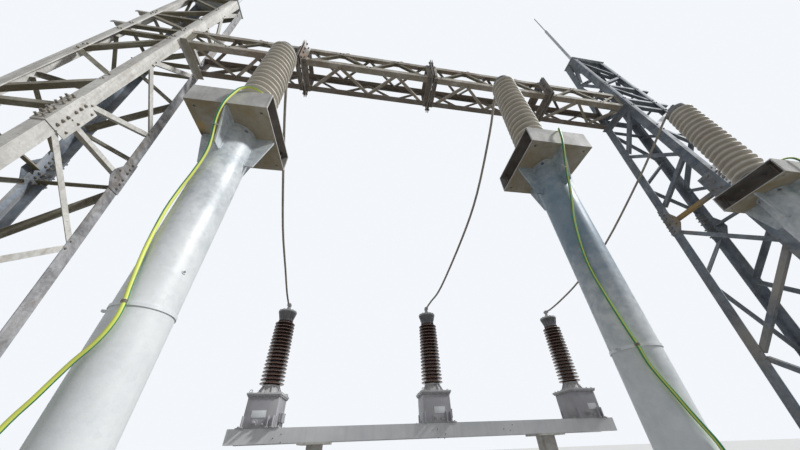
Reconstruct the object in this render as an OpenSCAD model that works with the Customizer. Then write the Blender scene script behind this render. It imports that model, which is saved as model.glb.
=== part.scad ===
// Switchgear bay of an outdoor high-voltage substation: a lattice portal
// gantry, a row of three tubular poles that carry post insulators, and a row
// of three instrument transformers on one pair of channels.
// Millimetres, +Z up. X runs along the gantry beam, -Y is the pole side.
// The origin is on the ground, halfway between the columns and halfway
// between the pole row and the transformer row.

/* [Gantry columns] */
// Distance between the two column centres
column_spacing = 9000; // [7000:50:12000]
// Height of the columns without the lightning rod
column_height = 9850; // [8900:50:13000]
// Width of a column along the beam, over its legs
column_width = 900; // [700:10:1200]
// Depth of a column at its top, over its legs
column_top_depth = 290; // [280:5:500]
// Depth of a column at the ground, over its legs
column_base_depth = 1470; // [1100:10:1900]
// Flange width of a leg angle
leg_size = 125; // [100:1:150]
// Flange thickness of a leg angle
leg_t = 10; // [7:0.5:14]
// Flange width of a bracing angle
brace_size = 63; // [50:1:75]
// Flange thickness of a bracing angle
brace_t = 6; // [4:0.5:8]
// Height of the bolted joint in the legs
splice_level = 4620; // [3800:10:5400]
// Height of the joint's cover plates
splice_h = 530; // [420:10:700]
// Width of the cover plate on a column's side, from the leg's corner
splice_w = 200; // [160:5:260]
// Thickness of the cover plates
splice_t = 8; // [6:1:12]
// Height of the lowest bracing node above the ground
foot_level = 250; // [200:10:600]
// Bracing panels between the lowest node and the leg joint
lower_panels = 4; // [3:1:5]
// Bracing panels between the leg joint and the beam
upper_panels = 3; // [2:1:4]
// How far the two front and rear cross arms reach past the leg, outward
arm_reach = 220; // [0:10:300]
// Height of the lower cross arm above the beam's underside
arm_low = 300; // [180:10:320]
// Height of the upper cross arm above the beam's underside
arm_high = 1000; // [800:10:1100]

/* [Column feet] */
// Side of a foot plate
foot_plate = 300; // [260:5:360]
// Thickness of a foot plate
foot_plate_t = 20; // [12:1:30]
// Diameter of an anchor bolt hole
anchor_d = 26; // [18:1:34]
// Distance between the two anchor bolt holes of a foot
anchor_pitch = 200; // [170:5:240]

/* [Gantry beam] */
// Height of the beam's underside above the ground
beam_level = 7130; // [6300:10:7900]
// Height of the beam over its chords
beam_h = 490; // [400:10:600]
// Depth of the beam over its chords
beam_d = 500; // [420:10:580]
// Flange width of a chord angle
chord_size = 90; // [70:1:110]
// Flange thickness of a chord angle
chord_t = 8; // [6:0.5:10]
// Flange width of a beam bracing angle
lace_size = 45; // [35:1:55]
// Flange thickness of a beam bracing angle
lace_t = 5; // [4:0.5:6]
// How far every second front lace stands out above the top chord
lace_reach = 150; // [0:10:200]
// Length of a beam section between two flange joints
section_l = 2300; // [2000:10:2500]
// Place of the middle flange joint along the beam
joint_shift = 70; // [-100:10:100]
// Flange width of a joint frame's angle
joint_size = 85; // [60:1:100]
// Flange thickness of a joint frame's angle
joint_t = 9; // [6:0.5:12]
// Gap between the two frames of a joint
joint_gap = 24; // [10:1:40]
// Flange width of the seat angle under the beam's ends
seat_size = 100; // [80:1:120]

/* [Lightning rods] */
// Thickness of the cap plate on a column
cap_t = 12; // [8:1:20]
// How far the cap plate stands out past the legs
cap_margin = 20; // [5:1:40]
// Diameter of the rod's lower tube
rod_d = 60; // [45:1:76]
// Length of the rod's lower tube
rod_l = 2200; // [1500:50:3000]
// Diameter of the rod's tip
rod_tip_d = 25; // [16:1:32]
// Length of the rod's tip
rod_tip_l = 1150; // [800:50:1600]

/* [Poles] */
// Distance between neighbouring poles, and between neighbouring transformers
phase_spacing = 2000; // [1700:10:2400]
// Distance between the pole row and the transformer row
row_spacing = 2730; // [2400:10:3300]
// Sideways place of the middle pole
pole_shift = 285; // [0:5:400]
// Diameter of a pole's tube
pole_d = 190; // [159:1:219]
// Height of the underside of a pole's head
head_level = 3200; // [2700:10:3900]
// Diameter of a pole's foot flange
pole_flange_d = 400; // [340:5:420]
// Thickness of a pole's foot flange
pole_flange_t = 20; // [12:1:30]
// Bolt circle of a pole's foot flange
pole_pcd = 320; // [300:5:350]
// Diameter of the holes in a pole's foot flange
pole_hole_d = 24; // [18:1:30]
// Height of the gussets at a pole's foot
foot_gusset_h = 180; // [120:5:260]
// Height of the gussets under the head
head_gusset_h = 250; // [200:5:320]
// How far a head gusset stands out from the tube at its lower end
head_gusset_w = 45; // [30:1:60]
// Thickness of the gussets
gusset_t = 8; // [5:1:12]
// Diameter of the vent holes at a tube's upper end
vent_d = 22; // [14:1:28]
// Height of the strap band that holds the earth cable on the right pole
band_level = 2010; // [1500:10:2400]
// Height of the strap band itself
band_h = 12; // [10:1:30]
// Thickness of the strap band
band_t = 3; // [2:0.5:4]

/* [Pole heads] */
// Side of the square head
head_w = 420; // [380:5:480]
// Height of the head
head_h = 150; // [120:5:200]
// Thickness of the head's plates
head_t = 8; // [6:1:12]
// Diameter of the corner holes
corner_hole_d = 18; // [14:1:24]
// Distance from a corner hole to the head's edges
corner_inset = 38; // [30:1:50]

/* [Post insulators] */
// Diameter of the insulator's foot flange
post_flange_d = 250; // [225:1:280]
// Thickness of the insulator's foot flange
post_flange_t = 18; // [12:1:24]
// Diameter of the metal socket around the porcelain's ends
post_socket_d = 176; // [165:1:185]
// Height of the lower metal socket
post_socket_h = 70; // [50:1:90]
// Number of sheds
post_sheds = 17; // [12:1:20]
// Distance from one shed to the next
post_pitch = 61; // [55:1:68]
// Diameter of the lowest shed
post_shed_d = 232; // [215:1:250]
// Diameter of the top shed
post_shed_top_d = 206; // [195:1:225]
// Diameter of the porcelain between the sheds
post_core_d = 150; // [135:1:160]
// Height of the metal cap on top
post_cap_h = 55; // [40:1:80]
// Diameter of the conductor's terminal stud
stud_d = 30; // [24:1:36]
// Height of the terminal stud
stud_h = 70; // [60:1:100]

/* [Instrument transformers] */
// Height of the channels' upper side
channel_level = 1865; // [1600:5:2300]
// Height of a channel
channel_h = 145; // [120:5:180]
// Flange width of a channel
channel_w = 60; // [50:1:75]
// Thickness of a channel's walls
channel_t = 7; // [5:0.5:10]
// Length of the channels
channel_l = 4600; // [4500:10:5400]
// Distance between the channels' backs
channel_gauge = 340; // [300:5:380]
// Width of a tank along the channels
tank_w = 335; // [320:5:440]
// Depth of a tank
tank_d = 360; // [340:5:400]
// Height of a tank
tank_h = 325; // [260:5:380]
// How far the tank's lid stands out
lid_margin = 20; // [10:1:20]
// Thickness of the tank's lid
lid_t = 22; // [14:1:30]
// Diameter of the ribbed neck at the lid
neck_d = 300; // [270:5:330]
// Diameter of the ribbed neck at the porcelain
neck_top_d = 200; // [190:1:215]
// Height of the ribbed neck
neck_h = 103; // [90:1:160]
// Number of ribs on the neck
neck_ribs = 8; // [6:1:12]
// Number of wide sheds
vt_sheds = 11; // [8:1:14]
// Distance from one wide shed to the next
vt_pitch = 73; // [62:1:80]
// Diameter of the lowest wide shed
vt_shed_d = 280; // [260:1:300]
// Diameter of the top wide shed
vt_shed_top_d = 250; // [235:1:270]
// Diameter of the porcelain between the sheds
vt_core_d = 165; // [150:1:180]
// Diameter of the cup's neck
cup_d = 170; // [150:1:190]
// Diameter of the cup's rim
cup_rim_d = 238; // [215:1:260]
// Height of the cup
cup_h = 150; // [120:5:190]
// Height of the terminal on the cup
terminal_h = 130; // [100:5:170]

/* [Transformer supports] */
// Distance between the two supports
support_spacing = 2800; // [2200:10:3400]
// Side of a support's square post
post_w = 160; // [140:5:200]
// Side of a support's foot plate
support_plate = 340; // [300:5:400]
// Thickness of a support's foot and head plates
support_plate_t = 20; // [12:1:30]
// Distance between the holes of a support's foot plate
support_pitch = 260; // [240:5:290]

/* [Conductors] */
// Diameter of the flexible conductors between the rows
conductor_d = 24; // [18:1:30]
// Diameter of the earth cables
earth_d = 14; // [10:1:18]

/* [Hidden] */

zinc = [0.66, 0.68, 0.70];
zinc_dark = [0.50, 0.52, 0.54];
grey_glaze = [0.55, 0.52, 0.47];
brown_glaze = [0.22, 0.12, 0.09];
tank_paint = [0.52, 0.53, 0.56];
cable_green = [0.15, 0.55, 0.25];
bare_wire = [0.45, 0.45, 0.45];

// Places of the rows, and of the gantry between them
pole_row_y = -row_spacing / 2;
vt_row_y = row_spacing / 2;
gantry_y = pole_row_y + 1275;
column_x = column_spacing / 2;

// A column leans inward on its front and rear sides only
lean = atan((column_base_depth - column_top_depth) / 2 / column_height);
function half_depth(z) =
    column_top_depth / 2 + (column_height - z) * tan(lean);
function slope(z) = z / cos(lean);

beam_top = beam_level + beam_h;
seat_level = beam_level - 80;
upper_pitch = (seat_level - splice_level) / upper_panels;
lower_pitch = (splice_level - foot_level) / lower_panels;
arm_levels = [beam_level + arm_low, beam_level + arm_high];
top_pitch = (column_height - 140 - arm_levels[1] - 80) / 2;

// Bars on one face: an angle of equal flanges from one point to another in
// the XZ plane. One flange lies flat from y = 0, the other stands up.
module angle_profile(size, t) {
    polygon([[0, -size / 2], [size, -size / 2], [size, -size / 2 + t],
             [t, -size / 2 + t], [t, size / 2], [0, size / 2]]);
}

module face_bar(a, b, size, t) {
    d = b - a;
    translate([a[0], 0, a[1]])
        rotate([0, -atan2(d[1], d[0]), 0])
            rotate([90, 0, 90])
                linear_extrude(norm(d)) angle_profile(size, t);
}

// Zigzag of bars through a list of points. Two bars that meet on a leg stand
// clear of each other there, one above the other.
module face_zigzag(points, size, t) {
    clear = [0, size * 0.6];
    for (i = [0 : len(points) - 2])
        face_bar(points[i] + clear, points[i + 1] - clear, size, t);
}

// ---- Gantry columns ----

// Node points of a zigzag that starts on one side at its lowest level
function zigzag(levels, edge, side) =
    [for (i = [0 : len(levels) - 1])
        [(i % 2 == 0 ? side : -side) * edge, slope(levels[i])]];

function lower_levels(top) =
    [for (i = [0 : lower_panels])
        i == lower_panels ? top : foot_level + i * lower_pitch];
function upper_levels(bottom) =
    [for (i = [0 : upper_panels])
        i == 0 ? bottom : splice_level + i * upper_pitch];

splice_clear = splice_h / 2 + 15;

// Leg of a column on the front face, with its corner at x = column_width / 2.
// The cover plates on the sides of the rear legs have cut corners.
module leg(rear) {
    h = slope(column_height);
    w = column_width / 2;
    linear_extrude(h)
        polygon([[w, 0], [w, leg_size], [w - leg_t, leg_size],
                 [w - leg_t, leg_t], [w - leg_size, leg_t],
                 [w - leg_size, 0]]);
    // cover plates of the bolted joint
    translate([w - leg_size, -splice_t, slope(splice_level) - splice_h / 2])
        cube([leg_size + splice_t, splice_t, splice_h]);
    translate([w, 0, slope(splice_level) - splice_h / 2])
        rotate([90, 0, 90]) linear_extrude(splice_t)
            polygon([for (p = rear ? [[0, 0], [0.65, 0], [1, 0.27],
                                      [0.92, 0.51], [0.35, 0.93], [0.3, 1],
                                      [0, 1]]
                                   : [[0, 0], [1, 0], [1, 1], [0, 1]])
                        [p[0] * splice_w, p[1] * splice_h]]);
}

module foot() {
    difference() {
        translate([-foot_plate / 2, -foot_plate / 2, 0])
            cube([foot_plate, foot_plate, foot_plate_t]);
        for (s = [-1, 1])
            translate([s * anchor_pitch / 2, 0, -1])
                cylinder(d = anchor_d, h = foot_plate_t + 2, $fn = 32);
    }
}

// Front or rear side of a column: two legs, their feet, the zigzag between
// them and the cross arms. out is the side on which the arms stand out.
module column_face(out, rear = false) {
    w = column_width / 2;
    edge = w - 50;
    tie_level = splice_level + (rear ? -165 : 85);
    color(zinc) {
        translate([0, -half_depth(0), 0]) rotate([-lean, 0, 0])
            difference() {
                union() {
                    leg(rear);
                    mirror([1, 0, 0]) leg(rear);
                    translate([0, leg_t - 1, 0]) {
                        face_zigzag(zigzag(lower_levels(splice_level - splice_clear),
                                           edge, -1), brace_size, brace_t);
                        face_zigzag(zigzag(upper_levels(splice_level + splice_clear),
                                           edge, -1), brace_size, brace_t);
                        face_bar([-edge, slope(tie_level)],
                                 [edge, slope(tie_level)],
                                 brace_size, brace_t);
                        face_bar([-edge, slope(seat_level + 60)],
                                 [edge, slope(seat_level + 60)],
                                 brace_size, brace_t);
                        face_zigzag([[edge, slope(arm_levels[0] + 45)],
                                     [-edge, slope(arm_levels[1] - 45)]],
                                    brace_size, brace_t);
                        face_zigzag([for (i = [0 : 2])
                                        [(i % 2 == 0 ? -1 : 1) * edge,
                                         slope(arm_levels[1] + 45 + i * top_pitch)]],
                                    brace_size, brace_t);
                        face_bar([-edge, slope(column_height - 45)],
                                 [edge, slope(column_height - 45)],
                                 brace_size, brace_t);
                        for (z = arm_levels)
                            face_bar([-out * edge, slope(z)],
                                     [out * (w + arm_reach), slope(z)],
                                     brace_size + 12, brace_t);
                    }
                }
                // legs are cut level at the ground and under the cap
                rotate([lean, 0, 0]) translate([-w - 500, -300, -400])
                    cube([2 * w + 1000, 900, 400 + foot_plate_t / 2]);
                rotate([lean, 0, 0]) translate([-w - 500, -300, column_height])
                    cube([2 * w + 1000, 1600, 400]);
            }
        for (s = [-1, 1])
            translate([s * (w - leg_size / 2 + 5),
                       -half_depth(0) + leg_size / 2, 0]) foot();
    }
}

// Side of a column between its front and rear legs, in the plane of the legs'
// inner faces at x = column_width / 2 - leg_t. start is the side, -1 for the
// front, on which the lowest node lies.
module column_side(start) {
    x = column_width / 2 - leg_t;
    reach = 100;
    function edge(z) = half_depth(z) - reach;
    function node_at(z, s) = [s * edge(z), z];
    low = lower_levels(splice_level - splice_clear + 60);
    up = upper_levels(splice_level + splice_clear - 40);
    top = [for (i = [0 : 2]) arm_levels[1] + 45 + i * top_pitch];
    color(zinc_dark)
        translate([x, 0, 0]) rotate([0, 0, 90]) {
            face_zigzag([for (i = [0 : lower_panels])
                            node_at(low[i], i % 2 == 0 ? start : -start)],
                        brace_size, brace_t);
            face_zigzag([for (i = [0 : upper_panels])
                            node_at(up[i], i % 2 == 0 ? start : -start)],
                        brace_size, brace_t);
            face_bar(node_at(splice_level - 40, -1),
                     node_at(splice_level - 40, 1), brace_size, brace_t);
            face_zigzag([for (i = [0 : 2])
                            node_at(top[i], i % 2 == 0 ? -start : start)],
                        brace_size, brace_t);
            for (z = [arm_levels[0], arm_levels[1]])
                face_bar(node_at(z, -1), node_at(z, 1), brace_size, brace_t);
        }
}

// Angle on the side of a column that faces the beam; the beam's ends rest on
// its flat top
module beam_seat() {
    l = 2 * half_depth(beam_level) - 20;
    color(zinc_dark)
        translate([column_width / 2, -l / 2, beam_level])
            rotate([-90, 0, 0])
                linear_extrude(l)
                    polygon([[0, 0], [seat_size, 0], [seat_size, leg_t],
                             [leg_t, leg_t], [leg_t, seat_size],
                             [0, seat_size]]);
}

module on_column(side) {
    translate([side * column_x, gantry_y, 0]) children();
}

module column_front(side) { on_column(side) column_face(side); }
module column_rear(side) {
    on_column(side) rotate([0, 0, 180]) column_face(-side, true);
}
// The bracing of a column's two sides is the same when turned half round
module column_inner(side) {
    on_column(side) rotate([0, 0, side > 0 ? 180 : 0]) {
        column_side(-1);
        beam_seat();
    }
}
module column_outer(side) {
    on_column(side) rotate([0, 0, side > 0 ? 0 : 180]) column_side(-1);
}

// ---- Lightning rods ----

module lightning_rod(side) {
    w = column_width / 2 + cap_margin;
    d = column_top_depth / 2 + cap_margin;
    color(zinc)
        on_column(side) {
            translate([-w, -d, column_height]) cube([2 * w, 2 * d, cap_t]);
            translate([-side * (column_width / 2 - leg_size / 2),
                       -column_top_depth / 2 + leg_size / 2, column_height]) {
                cylinder(d = rod_d, h = cap_t + rod_l, $fn = 32);
                cylinder(d = rod_tip_d, h = cap_t + rod_l + rod_tip_l,
                         $fn = 24);
                cylinder(d = rod_d + 40, h = cap_t + 14, $fn = 32);
            }
        }
}

// ---- Gantry beam ----

beam_end = column_x - column_width / 2;
joints_x = [for (i = [-1 : 1]) joint_shift + i * section_l];
lace_pitch = (section_l - 2 * 160) / 4;

// As many laces as find room between an outer joint and the beam's end
function end_laces(x) = floor((beam_end - abs(x) - 190) / lace_pitch);
// Node places along one section, outward from its inner joint
function section_nodes(i) =
    i == 0 ? [for (k = [0 : end_laces(joints_x[0])])
                 joints_x[0] - 160 - k * lace_pitch]
  : i == 3 ? [for (k = [0 : end_laces(joints_x[2])])
                 joints_x[2] + 160 + k * lace_pitch]
  : [for (k = [0 : 4]) joints_x[i - 1] + 160 + k * lace_pitch];

// Laces of one face. a and b are the two chords' heights; from is the chord,
// 0 or 1, on which each section's first node lies.
module laces(a, b, from, reach = 0) {
    for (i = [0 : 3]) {
        nodes = section_nodes(i);
        for (k = [0 : len(nodes) - 2]) {
            p = [nodes[k], (k + from) % 2 == 0 ? a : b];
            q = [nodes[k + 1], (k + from) % 2 == 0 ? b : a];
            d = (q - p) / norm(q - p);
            up = reach > 0 && k % 2 == 0
                && abs(nodes[k + 1]) < beam_end - 2 * reach;
            face_bar(p, up ? q + d * reach : q, lace_size, lace_t);
        }
    }
}

// Chord angle with its corner on the X axis, flanges along +Y and +Z
module chord() {
    translate([-beam_end, 0, 0]) rotate([90, 0, 90])
        linear_extrude(2 * beam_end)
            polygon([[0, 0], [chord_size, 0], [chord_size, chord_t],
                     [chord_t, chord_t], [chord_t, chord_size],
                     [0, chord_size]]);
}

// Front or rear side of the beam: two chords, the laces between them and an
// upright angle at each end. Its outer face is y = 0.
module beam_side(from, reach) {
    color(zinc) {
        chord();
        translate([0, 0, beam_h]) mirror([0, 0, 1]) chord();
        translate([0, chord_t - 1, 0])
            laces(45, beam_h - 45, from, reach);
        for (s = [-1, 1])
            translate([s * (beam_end - chord_size / 2) - chord_size / 2,
                       chord_t - 1, 30])
                cube([chord_size, chord_t, beam_h - 60]);
    }
}

module beam_front() {
    translate([0, gantry_y - beam_d / 2, beam_level])
        beam_side(0, lace_reach);
}
module beam_rear() {
    translate([0, gantry_y + beam_d / 2, beam_level]) mirror([0, 1, 0])
        beam_side(1, 0);
}

// Laces of the top and bottom sides, between the chords' flat flanges
module beam_top_bracing() {
    translate([0, gantry_y, beam_top - chord_t])
        mirror([0, 0, 1]) beam_bracing_flat(0);
}
module beam_bottom_bracing() {
    translate([0, gantry_y, beam_level + chord_t]) beam_bracing_flat(1);
}
// The laces' flat flanges lie on the chords, the others point into the beam
module beam_bracing_flat(from) {
    edge = beam_d / 2 - 60;
    color(zinc_dark)
        mirror([0, 1, 0]) rotate([90, 0, 0])
            laces(-edge, edge, from);
}

// One frame of a flange joint: a ring against the next frame and a collar
// around the chords
module joint_frame() {
    y = beam_d / 2;
    difference() {
        translate([0, -y - joint_size, -joint_size])
            cube([joint_t, 2 * (y + joint_size), beam_h + 2 * joint_size]);
        translate([-1, -y, 0]) cube([joint_t + 2, 2 * y, beam_h]);
    }
    difference() {
        translate([0, -y - joint_t, -joint_t])
            cube([joint_size, 2 * (y + joint_t), beam_h + 2 * joint_t]);
        translate([-1, -y, 0]) cube([joint_size + 2, 2 * y, beam_h]);
    }
}

module beam_joint(i) {
    y = beam_d / 2 + joint_size / 2;
    color(zinc_dark)
        translate([joints_x[i], gantry_y, beam_level]) {
            for (s = [0, 1])
                mirror([s, 0, 0]) translate([joint_gap / 2, 0, 0])
                    joint_frame();
            for (s = [-1, 1], z = [-joint_size / 2, beam_h / 3, beam_h * 2 / 3,
                                   beam_h + joint_size / 2])
                translate([0, s * y, z]) rotate([0, 90, 0])
                    cylinder(d = 24, h = joint_gap + 2 * joint_t + 34,
                             center = true, $fn = 24);
        }
}

// ---- Poles ----

function pole_x(i) = pole_shift + i * phase_spacing;
// Place of the earth cable's lug on the foot flange, from the pole's axis
lug_x = 44;
lug_y = -122;
lug_h = 30;
// Places of the lugs on the heads, and how far each band lies off band_level
head_lugs = [[150, -140], [50, -152], [-60, -152]];
band_offsets = [60, -60, 0];
module on_pole(i) { translate([pole_x(i), pole_row_y, 0]) children(); }

module pole(i) {
    r = pole_d / 2;
    color(zinc)
        on_pole(i) {
            difference() {
                union() {
                    cylinder(d = pole_flange_d, h = pole_flange_t, $fn = 64);
                    for (a = [45 : 90 : 315])
                        rotate([90, 0, a]) translate([0, 0, -gusset_t / 2])
                            linear_extrude(gusset_t)
                                polygon([[r - 3, pole_flange_t - 1],
                                         [pole_flange_d / 2 - 14, pole_flange_t - 1],
                                         [pole_flange_d / 2 - 14, pole_flange_t + 15],
                                         [r + 10, pole_flange_t + foot_gusset_h],
                                         [r - 3, pole_flange_t + foot_gusset_h]]);
                }
                for (a = [0 : 90 : 270])
                    rotate([0, 0, a]) translate([pole_pcd / 2, 0, -1])
                        cylinder(d = pole_hole_d, h = pole_flange_t + 2,
                                 $fn = 32);
            }
            difference() {
                cylinder(d = pole_d, h = head_level, $fn = 64);
                for (a = [45 : 90 : 315])
                    rotate([0, 0, a]) translate([r - 60, 0, head_level - 20])
                        rotate([0, 90, 0]) cylinder(d = vent_d, h = 80, $fn = 24);
                // small drain hole of the left pole
                if (i < 0)
                    rotate([0, 0, -22]) translate([r - 40, 0, head_level - 965])
                        rotate([0, 90, 0]) cylinder(d = 10, h = 60, $fn = 24);
            }
            // gussets under the head
            for (a = [0 : 90 : 270])
                rotate([90, 0, a]) translate([0, 0, -gusset_t / 2])
                    linear_extrude(gusset_t)
                        polygon([[r - 3, head_level - head_gusset_h],
                                 [r + head_gusset_w, head_level - head_gusset_h],
                                 [head_w / 2 - 10, head_level - 20],
                                 [head_w / 2 - 10, head_level],
                                 [r - 3, head_level]]);
            // strap band with its screwed ends
            translate([0, 0, band_level + band_offsets[i + 1] - band_h / 2]) {
                cylinder(r = r + band_t, h = band_h, $fn = 64);
                rotate([0, 0, 190]) translate([r - 2, -6, 2])
                    cube([30, 12, band_h - 4]);
            }
            // lug on the foot flange in which the earth cable ends
            translate([lug_x - 17, lug_y - 13, pole_flange_t - 1])
                cube([34, 26, lug_h + 1]);
        }
}

module pole_head(i) {
    w = head_w / 2;
    c = w - corner_inset;
    color(zinc_dark)
        on_pole(i) translate([0, 0, head_level]) {
            difference() {
                translate([-w, -w, 0]) cube([head_w, head_w, head_h]);
                translate([-w - 1, -w + head_t, head_t])
                    cube([head_w + 2, head_w - 2 * head_t,
                          head_h - 2 * head_t]);
                for (x = [-c, c], y = [-c, c])
                    translate([x, y, -1])
                        cylinder(d = corner_hole_d, h = head_h + 2, $fn = 32);
            }
            // lug on the top plate from which the earth cable comes out
            translate([head_lugs[i + 1][0] - 17, head_lugs[i + 1][1],
                       head_h - 1])
                cube([34, 26, 41]);
        }
}

// ---- Post insulators ----

// Outline of one shed, from the core at its lower edge round to the core on
// top. z is the lower edge's height, r the shed's radius.
function shed(z, core, r, t) =
    [[core, z], [r - 5, z + 0.20 * t], [r, z + 0.42 * t], [r - 4, z + 0.62 * t],
     [core, z + t]];

post_base = head_level + head_h;
post_top = post_base + post_flange_t + post_socket_h
         + post_sheds * post_pitch + 12;
conductor_level = post_top + post_cap_h;

module post_insulator(i) {
    core = post_core_d / 2;
    z0 = post_flange_t + post_socket_h;
    r0 = post_shed_d / 2;
    r1 = post_shed_top_d / 2;
    h = post_sheds * post_pitch + 12;
    color(grey_glaze)
        on_pole(i) translate([0, 0, post_base]) {
            rotate_extrude($fn = 72)
                polygon(concat(
                    [[0, z0 - 20], [core, z0 - 20]],
                    [for (k = [0 : post_sheds - 1])
                        each shed(z0 + 8 + k * post_pitch, core,
                                  r0 + (r1 - r0) * k / (post_sheds - 1),
                                  0.72 * post_pitch)],
                    [[core, z0 + h + 10], [0, z0 + h + 10]]));
            // foot flange and socket
            cylinder(d = post_flange_d, h = post_flange_t, $fn = 64);
            cylinder(d = post_socket_d, h = z0, $fn = 64);
            // cap and terminal stud
            translate([0, 0, z0 + h])
                cylinder(d = post_socket_d - 16, h = post_cap_h, $fn = 64);
            translate([0, 0, z0 + h + post_cap_h])
                cylinder(d = stud_d, h = stud_h, $fn = 32);
            // clamp that grips the conductor beside the stud
            translate([-stud_d / 2 - 9, -stud_d / 2 - 9,
                       z0 + h + post_cap_h + 22])
                cube([stud_d + 18, stud_d + 34, 34]);
        }
}

// ---- Instrument transformers ----

function vt_x(i) = i * phase_spacing;
module on_vt(i) { translate([vt_x(i), vt_row_y, channel_level]) children(); }

vt_neck_level = tank_h + lid_t;
vt_base = vt_neck_level + neck_h;
vt_top = vt_base + vt_sheds * vt_pitch + 14;

module vt_tank(i) {
    color(tank_paint)
        on_vt(i) {
            translate([-tank_w / 2, -tank_d / 2, 0])
                cube([tank_w, tank_d, tank_h]);
            translate([-tank_w / 2 - lid_margin, -tank_d / 2 - lid_margin,
                       tank_h])
                cube([tank_w + 2 * lid_margin, tank_d + 2 * lid_margin,
                      lid_t]);
            // neck with ribs
            translate([0, 0, vt_neck_level])
                cylinder(d1 = neck_d - 70, d2 = neck_top_d - 30, h = neck_h - 12,
                         $fn = 48);
            translate([0, 0, vt_neck_level]) cylinder(d = neck_d, h = 10, $fn = 48);
            translate([0, 0, vt_base - 14])
                cylinder(d = neck_top_d, h = 14, $fn = 48);
            for (a = [0 : 360 / neck_ribs : 359])
                rotate([90, 0, a]) translate([0, 0, -4])
                    linear_extrude(8)
                        polygon([[0, vt_neck_level + 5],
                                 [neck_d / 2 - 6, vt_neck_level + 5],
                                 [neck_top_d / 2 - 2, vt_base - 8],
                                 [0, vt_base - 8]]);
            // feet along both sides
            for (s = [-1, 1])
                mirror([s < 0 ? 1 : 0, 0, 0])
                    translate([tank_w / 2 - 1, -tank_d / 2, 0]) {
                        cube([56, tank_d, 8]);
                        for (y = [20, tank_d - 26])
                            translate([0, y, 0]) cube([10, 6, 110]);
                    }
            // terminal box low on the side
            translate([tank_w / 2 - 1, -60, 60]) cube([46, 120, 90]);
        }
}

module vt_porcelain(i) {
    core = vt_core_d / 2;
    r0 = vt_shed_d / 2;
    r1 = vt_shed_top_d / 2;
    color(brown_glaze)
        on_vt(i) translate([0, 0, vt_base])
            rotate_extrude($fn = 72)
                polygon(concat(
                    [[0, 0], [core, 0]],
                    [for (k = [0 : vt_sheds - 1])
                        let (r = r0 + (r1 - r0) * k / (vt_sheds - 1),
                             z = 8 + k * vt_pitch)
                        each concat(shed(z, core, r, 0.42 * vt_pitch),
                                    shed(z + 0.50 * vt_pitch, core, r - 24,
                                         0.36 * vt_pitch))],
                    [[core, vt_top - vt_base], [0, vt_top - vt_base]]));
}

module vt_head(i) {
    color(tank_paint)
        on_vt(i) translate([0, 0, vt_top]) {
            cylinder(d = vt_core_d + 20, h = 20, $fn = 48);
            translate([0, 0, 19])
                cylinder(d1 = cup_d, d2 = cup_rim_d, h = cup_h - 40, $fn = 48);
            translate([0, 0, cup_h - 22])
                cylinder(d = cup_rim_d, h = 22, $fn = 48);
            translate([0, 0, cup_h - 1])
                cylinder(d1 = 60, d2 = 34, h = terminal_h - 50, $fn = 32);
            translate([0, 0, cup_h + terminal_h - 60])
                cylinder(d = stud_d, h = 60, $fn = 32);
            translate([-stud_d / 2 - 9, -stud_d / 2 - 25,
                       cup_h + terminal_h - 46])
                cube([stud_d + 18, stud_d + 34, 34]);
        }
}

// Channel with its back at y = 0 and its flanges along +Y
module channel_bar() {
    translate([-channel_l / 2, 0, -channel_h]) rotate([90, 0, 90])
        linear_extrude(channel_l)
            polygon([[0, 0], [channel_w, 0], [channel_w, channel_t],
                     [channel_t, channel_t],
                     [channel_t, channel_h - channel_t],
                     [channel_w, channel_h - channel_t],
                     [channel_w, channel_h], [0, channel_h]]);
}

module channel_front() {
    color(tank_paint)
        translate([0, vt_row_y - channel_gauge / 2, channel_level])
            channel_bar();
}
module channel_rear() {
    color(tank_paint)
        translate([0, vt_row_y + channel_gauge / 2, channel_level])
            mirror([0, 1, 0]) channel_bar();
}

module vt_support(side) {
    h = channel_level - channel_h;
    p = support_plate / 2;
    color(zinc)
        translate([side * support_spacing / 2, vt_row_y, 0]) {
            difference() {
                translate([-p, -p, 0])
                    cube([support_plate, support_plate, support_plate_t]);
                for (x = [-1, 1], y = [-1, 1])
                    translate([x * support_pitch / 2, y * support_pitch / 2, -1])
                        cylinder(d = pole_hole_d, h = support_plate_t + 2,
                                 $fn = 32);
            }
            translate([-post_w / 2, -post_w / 2, support_plate_t - 1])
                cube([post_w, post_w, h - 2 * support_plate_t + 2]);
            translate([-p, -channel_gauge / 2, h - support_plate_t])
                cube([support_plate, channel_gauge, support_plate_t]);
            for (a = [0 : 90 : 270])
                rotate([90, 0, a]) translate([0, 0, -gusset_t / 2])
                    linear_extrude(gusset_t)
                        polygon([[post_w / 2 - 2, support_plate_t - 1],
                                 [p - 12, support_plate_t - 1],
                                 [p - 12, support_plate_t + 12],
                                 [post_w / 2 + 8, support_plate_t + 150],
                                 [post_w / 2 - 2, support_plate_t + 150]]);
        }
}

// ---- Conductors and earth cables ----

function unit(v) = v / norm(v);
function route_dir(p, i) =
    unit(p[min(i + 1, len(p) - 1)] - p[max(i - 1, 0)]);
// Smooth points on a Catmull-Rom curve through the route's own points
function curve_at(p, i, t) =
    let (a = p[max(i - 1, 0)], b = p[i], c = p[i + 1],
         d = p[min(i + 2, len(p) - 1)])
    0.5 * (2 * b + (c - a) * t + (2 * a - 5 * b + 4 * c - d) * t * t
           + (3 * b - 3 * c + d - a) * t * t * t);
function smooth(p, n) =
    concat([for (i = [0 : len(p) - 2], k = [0 : n - 1]) curve_at(p, i, k / n)],
           [p[len(p) - 1]]);

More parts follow.
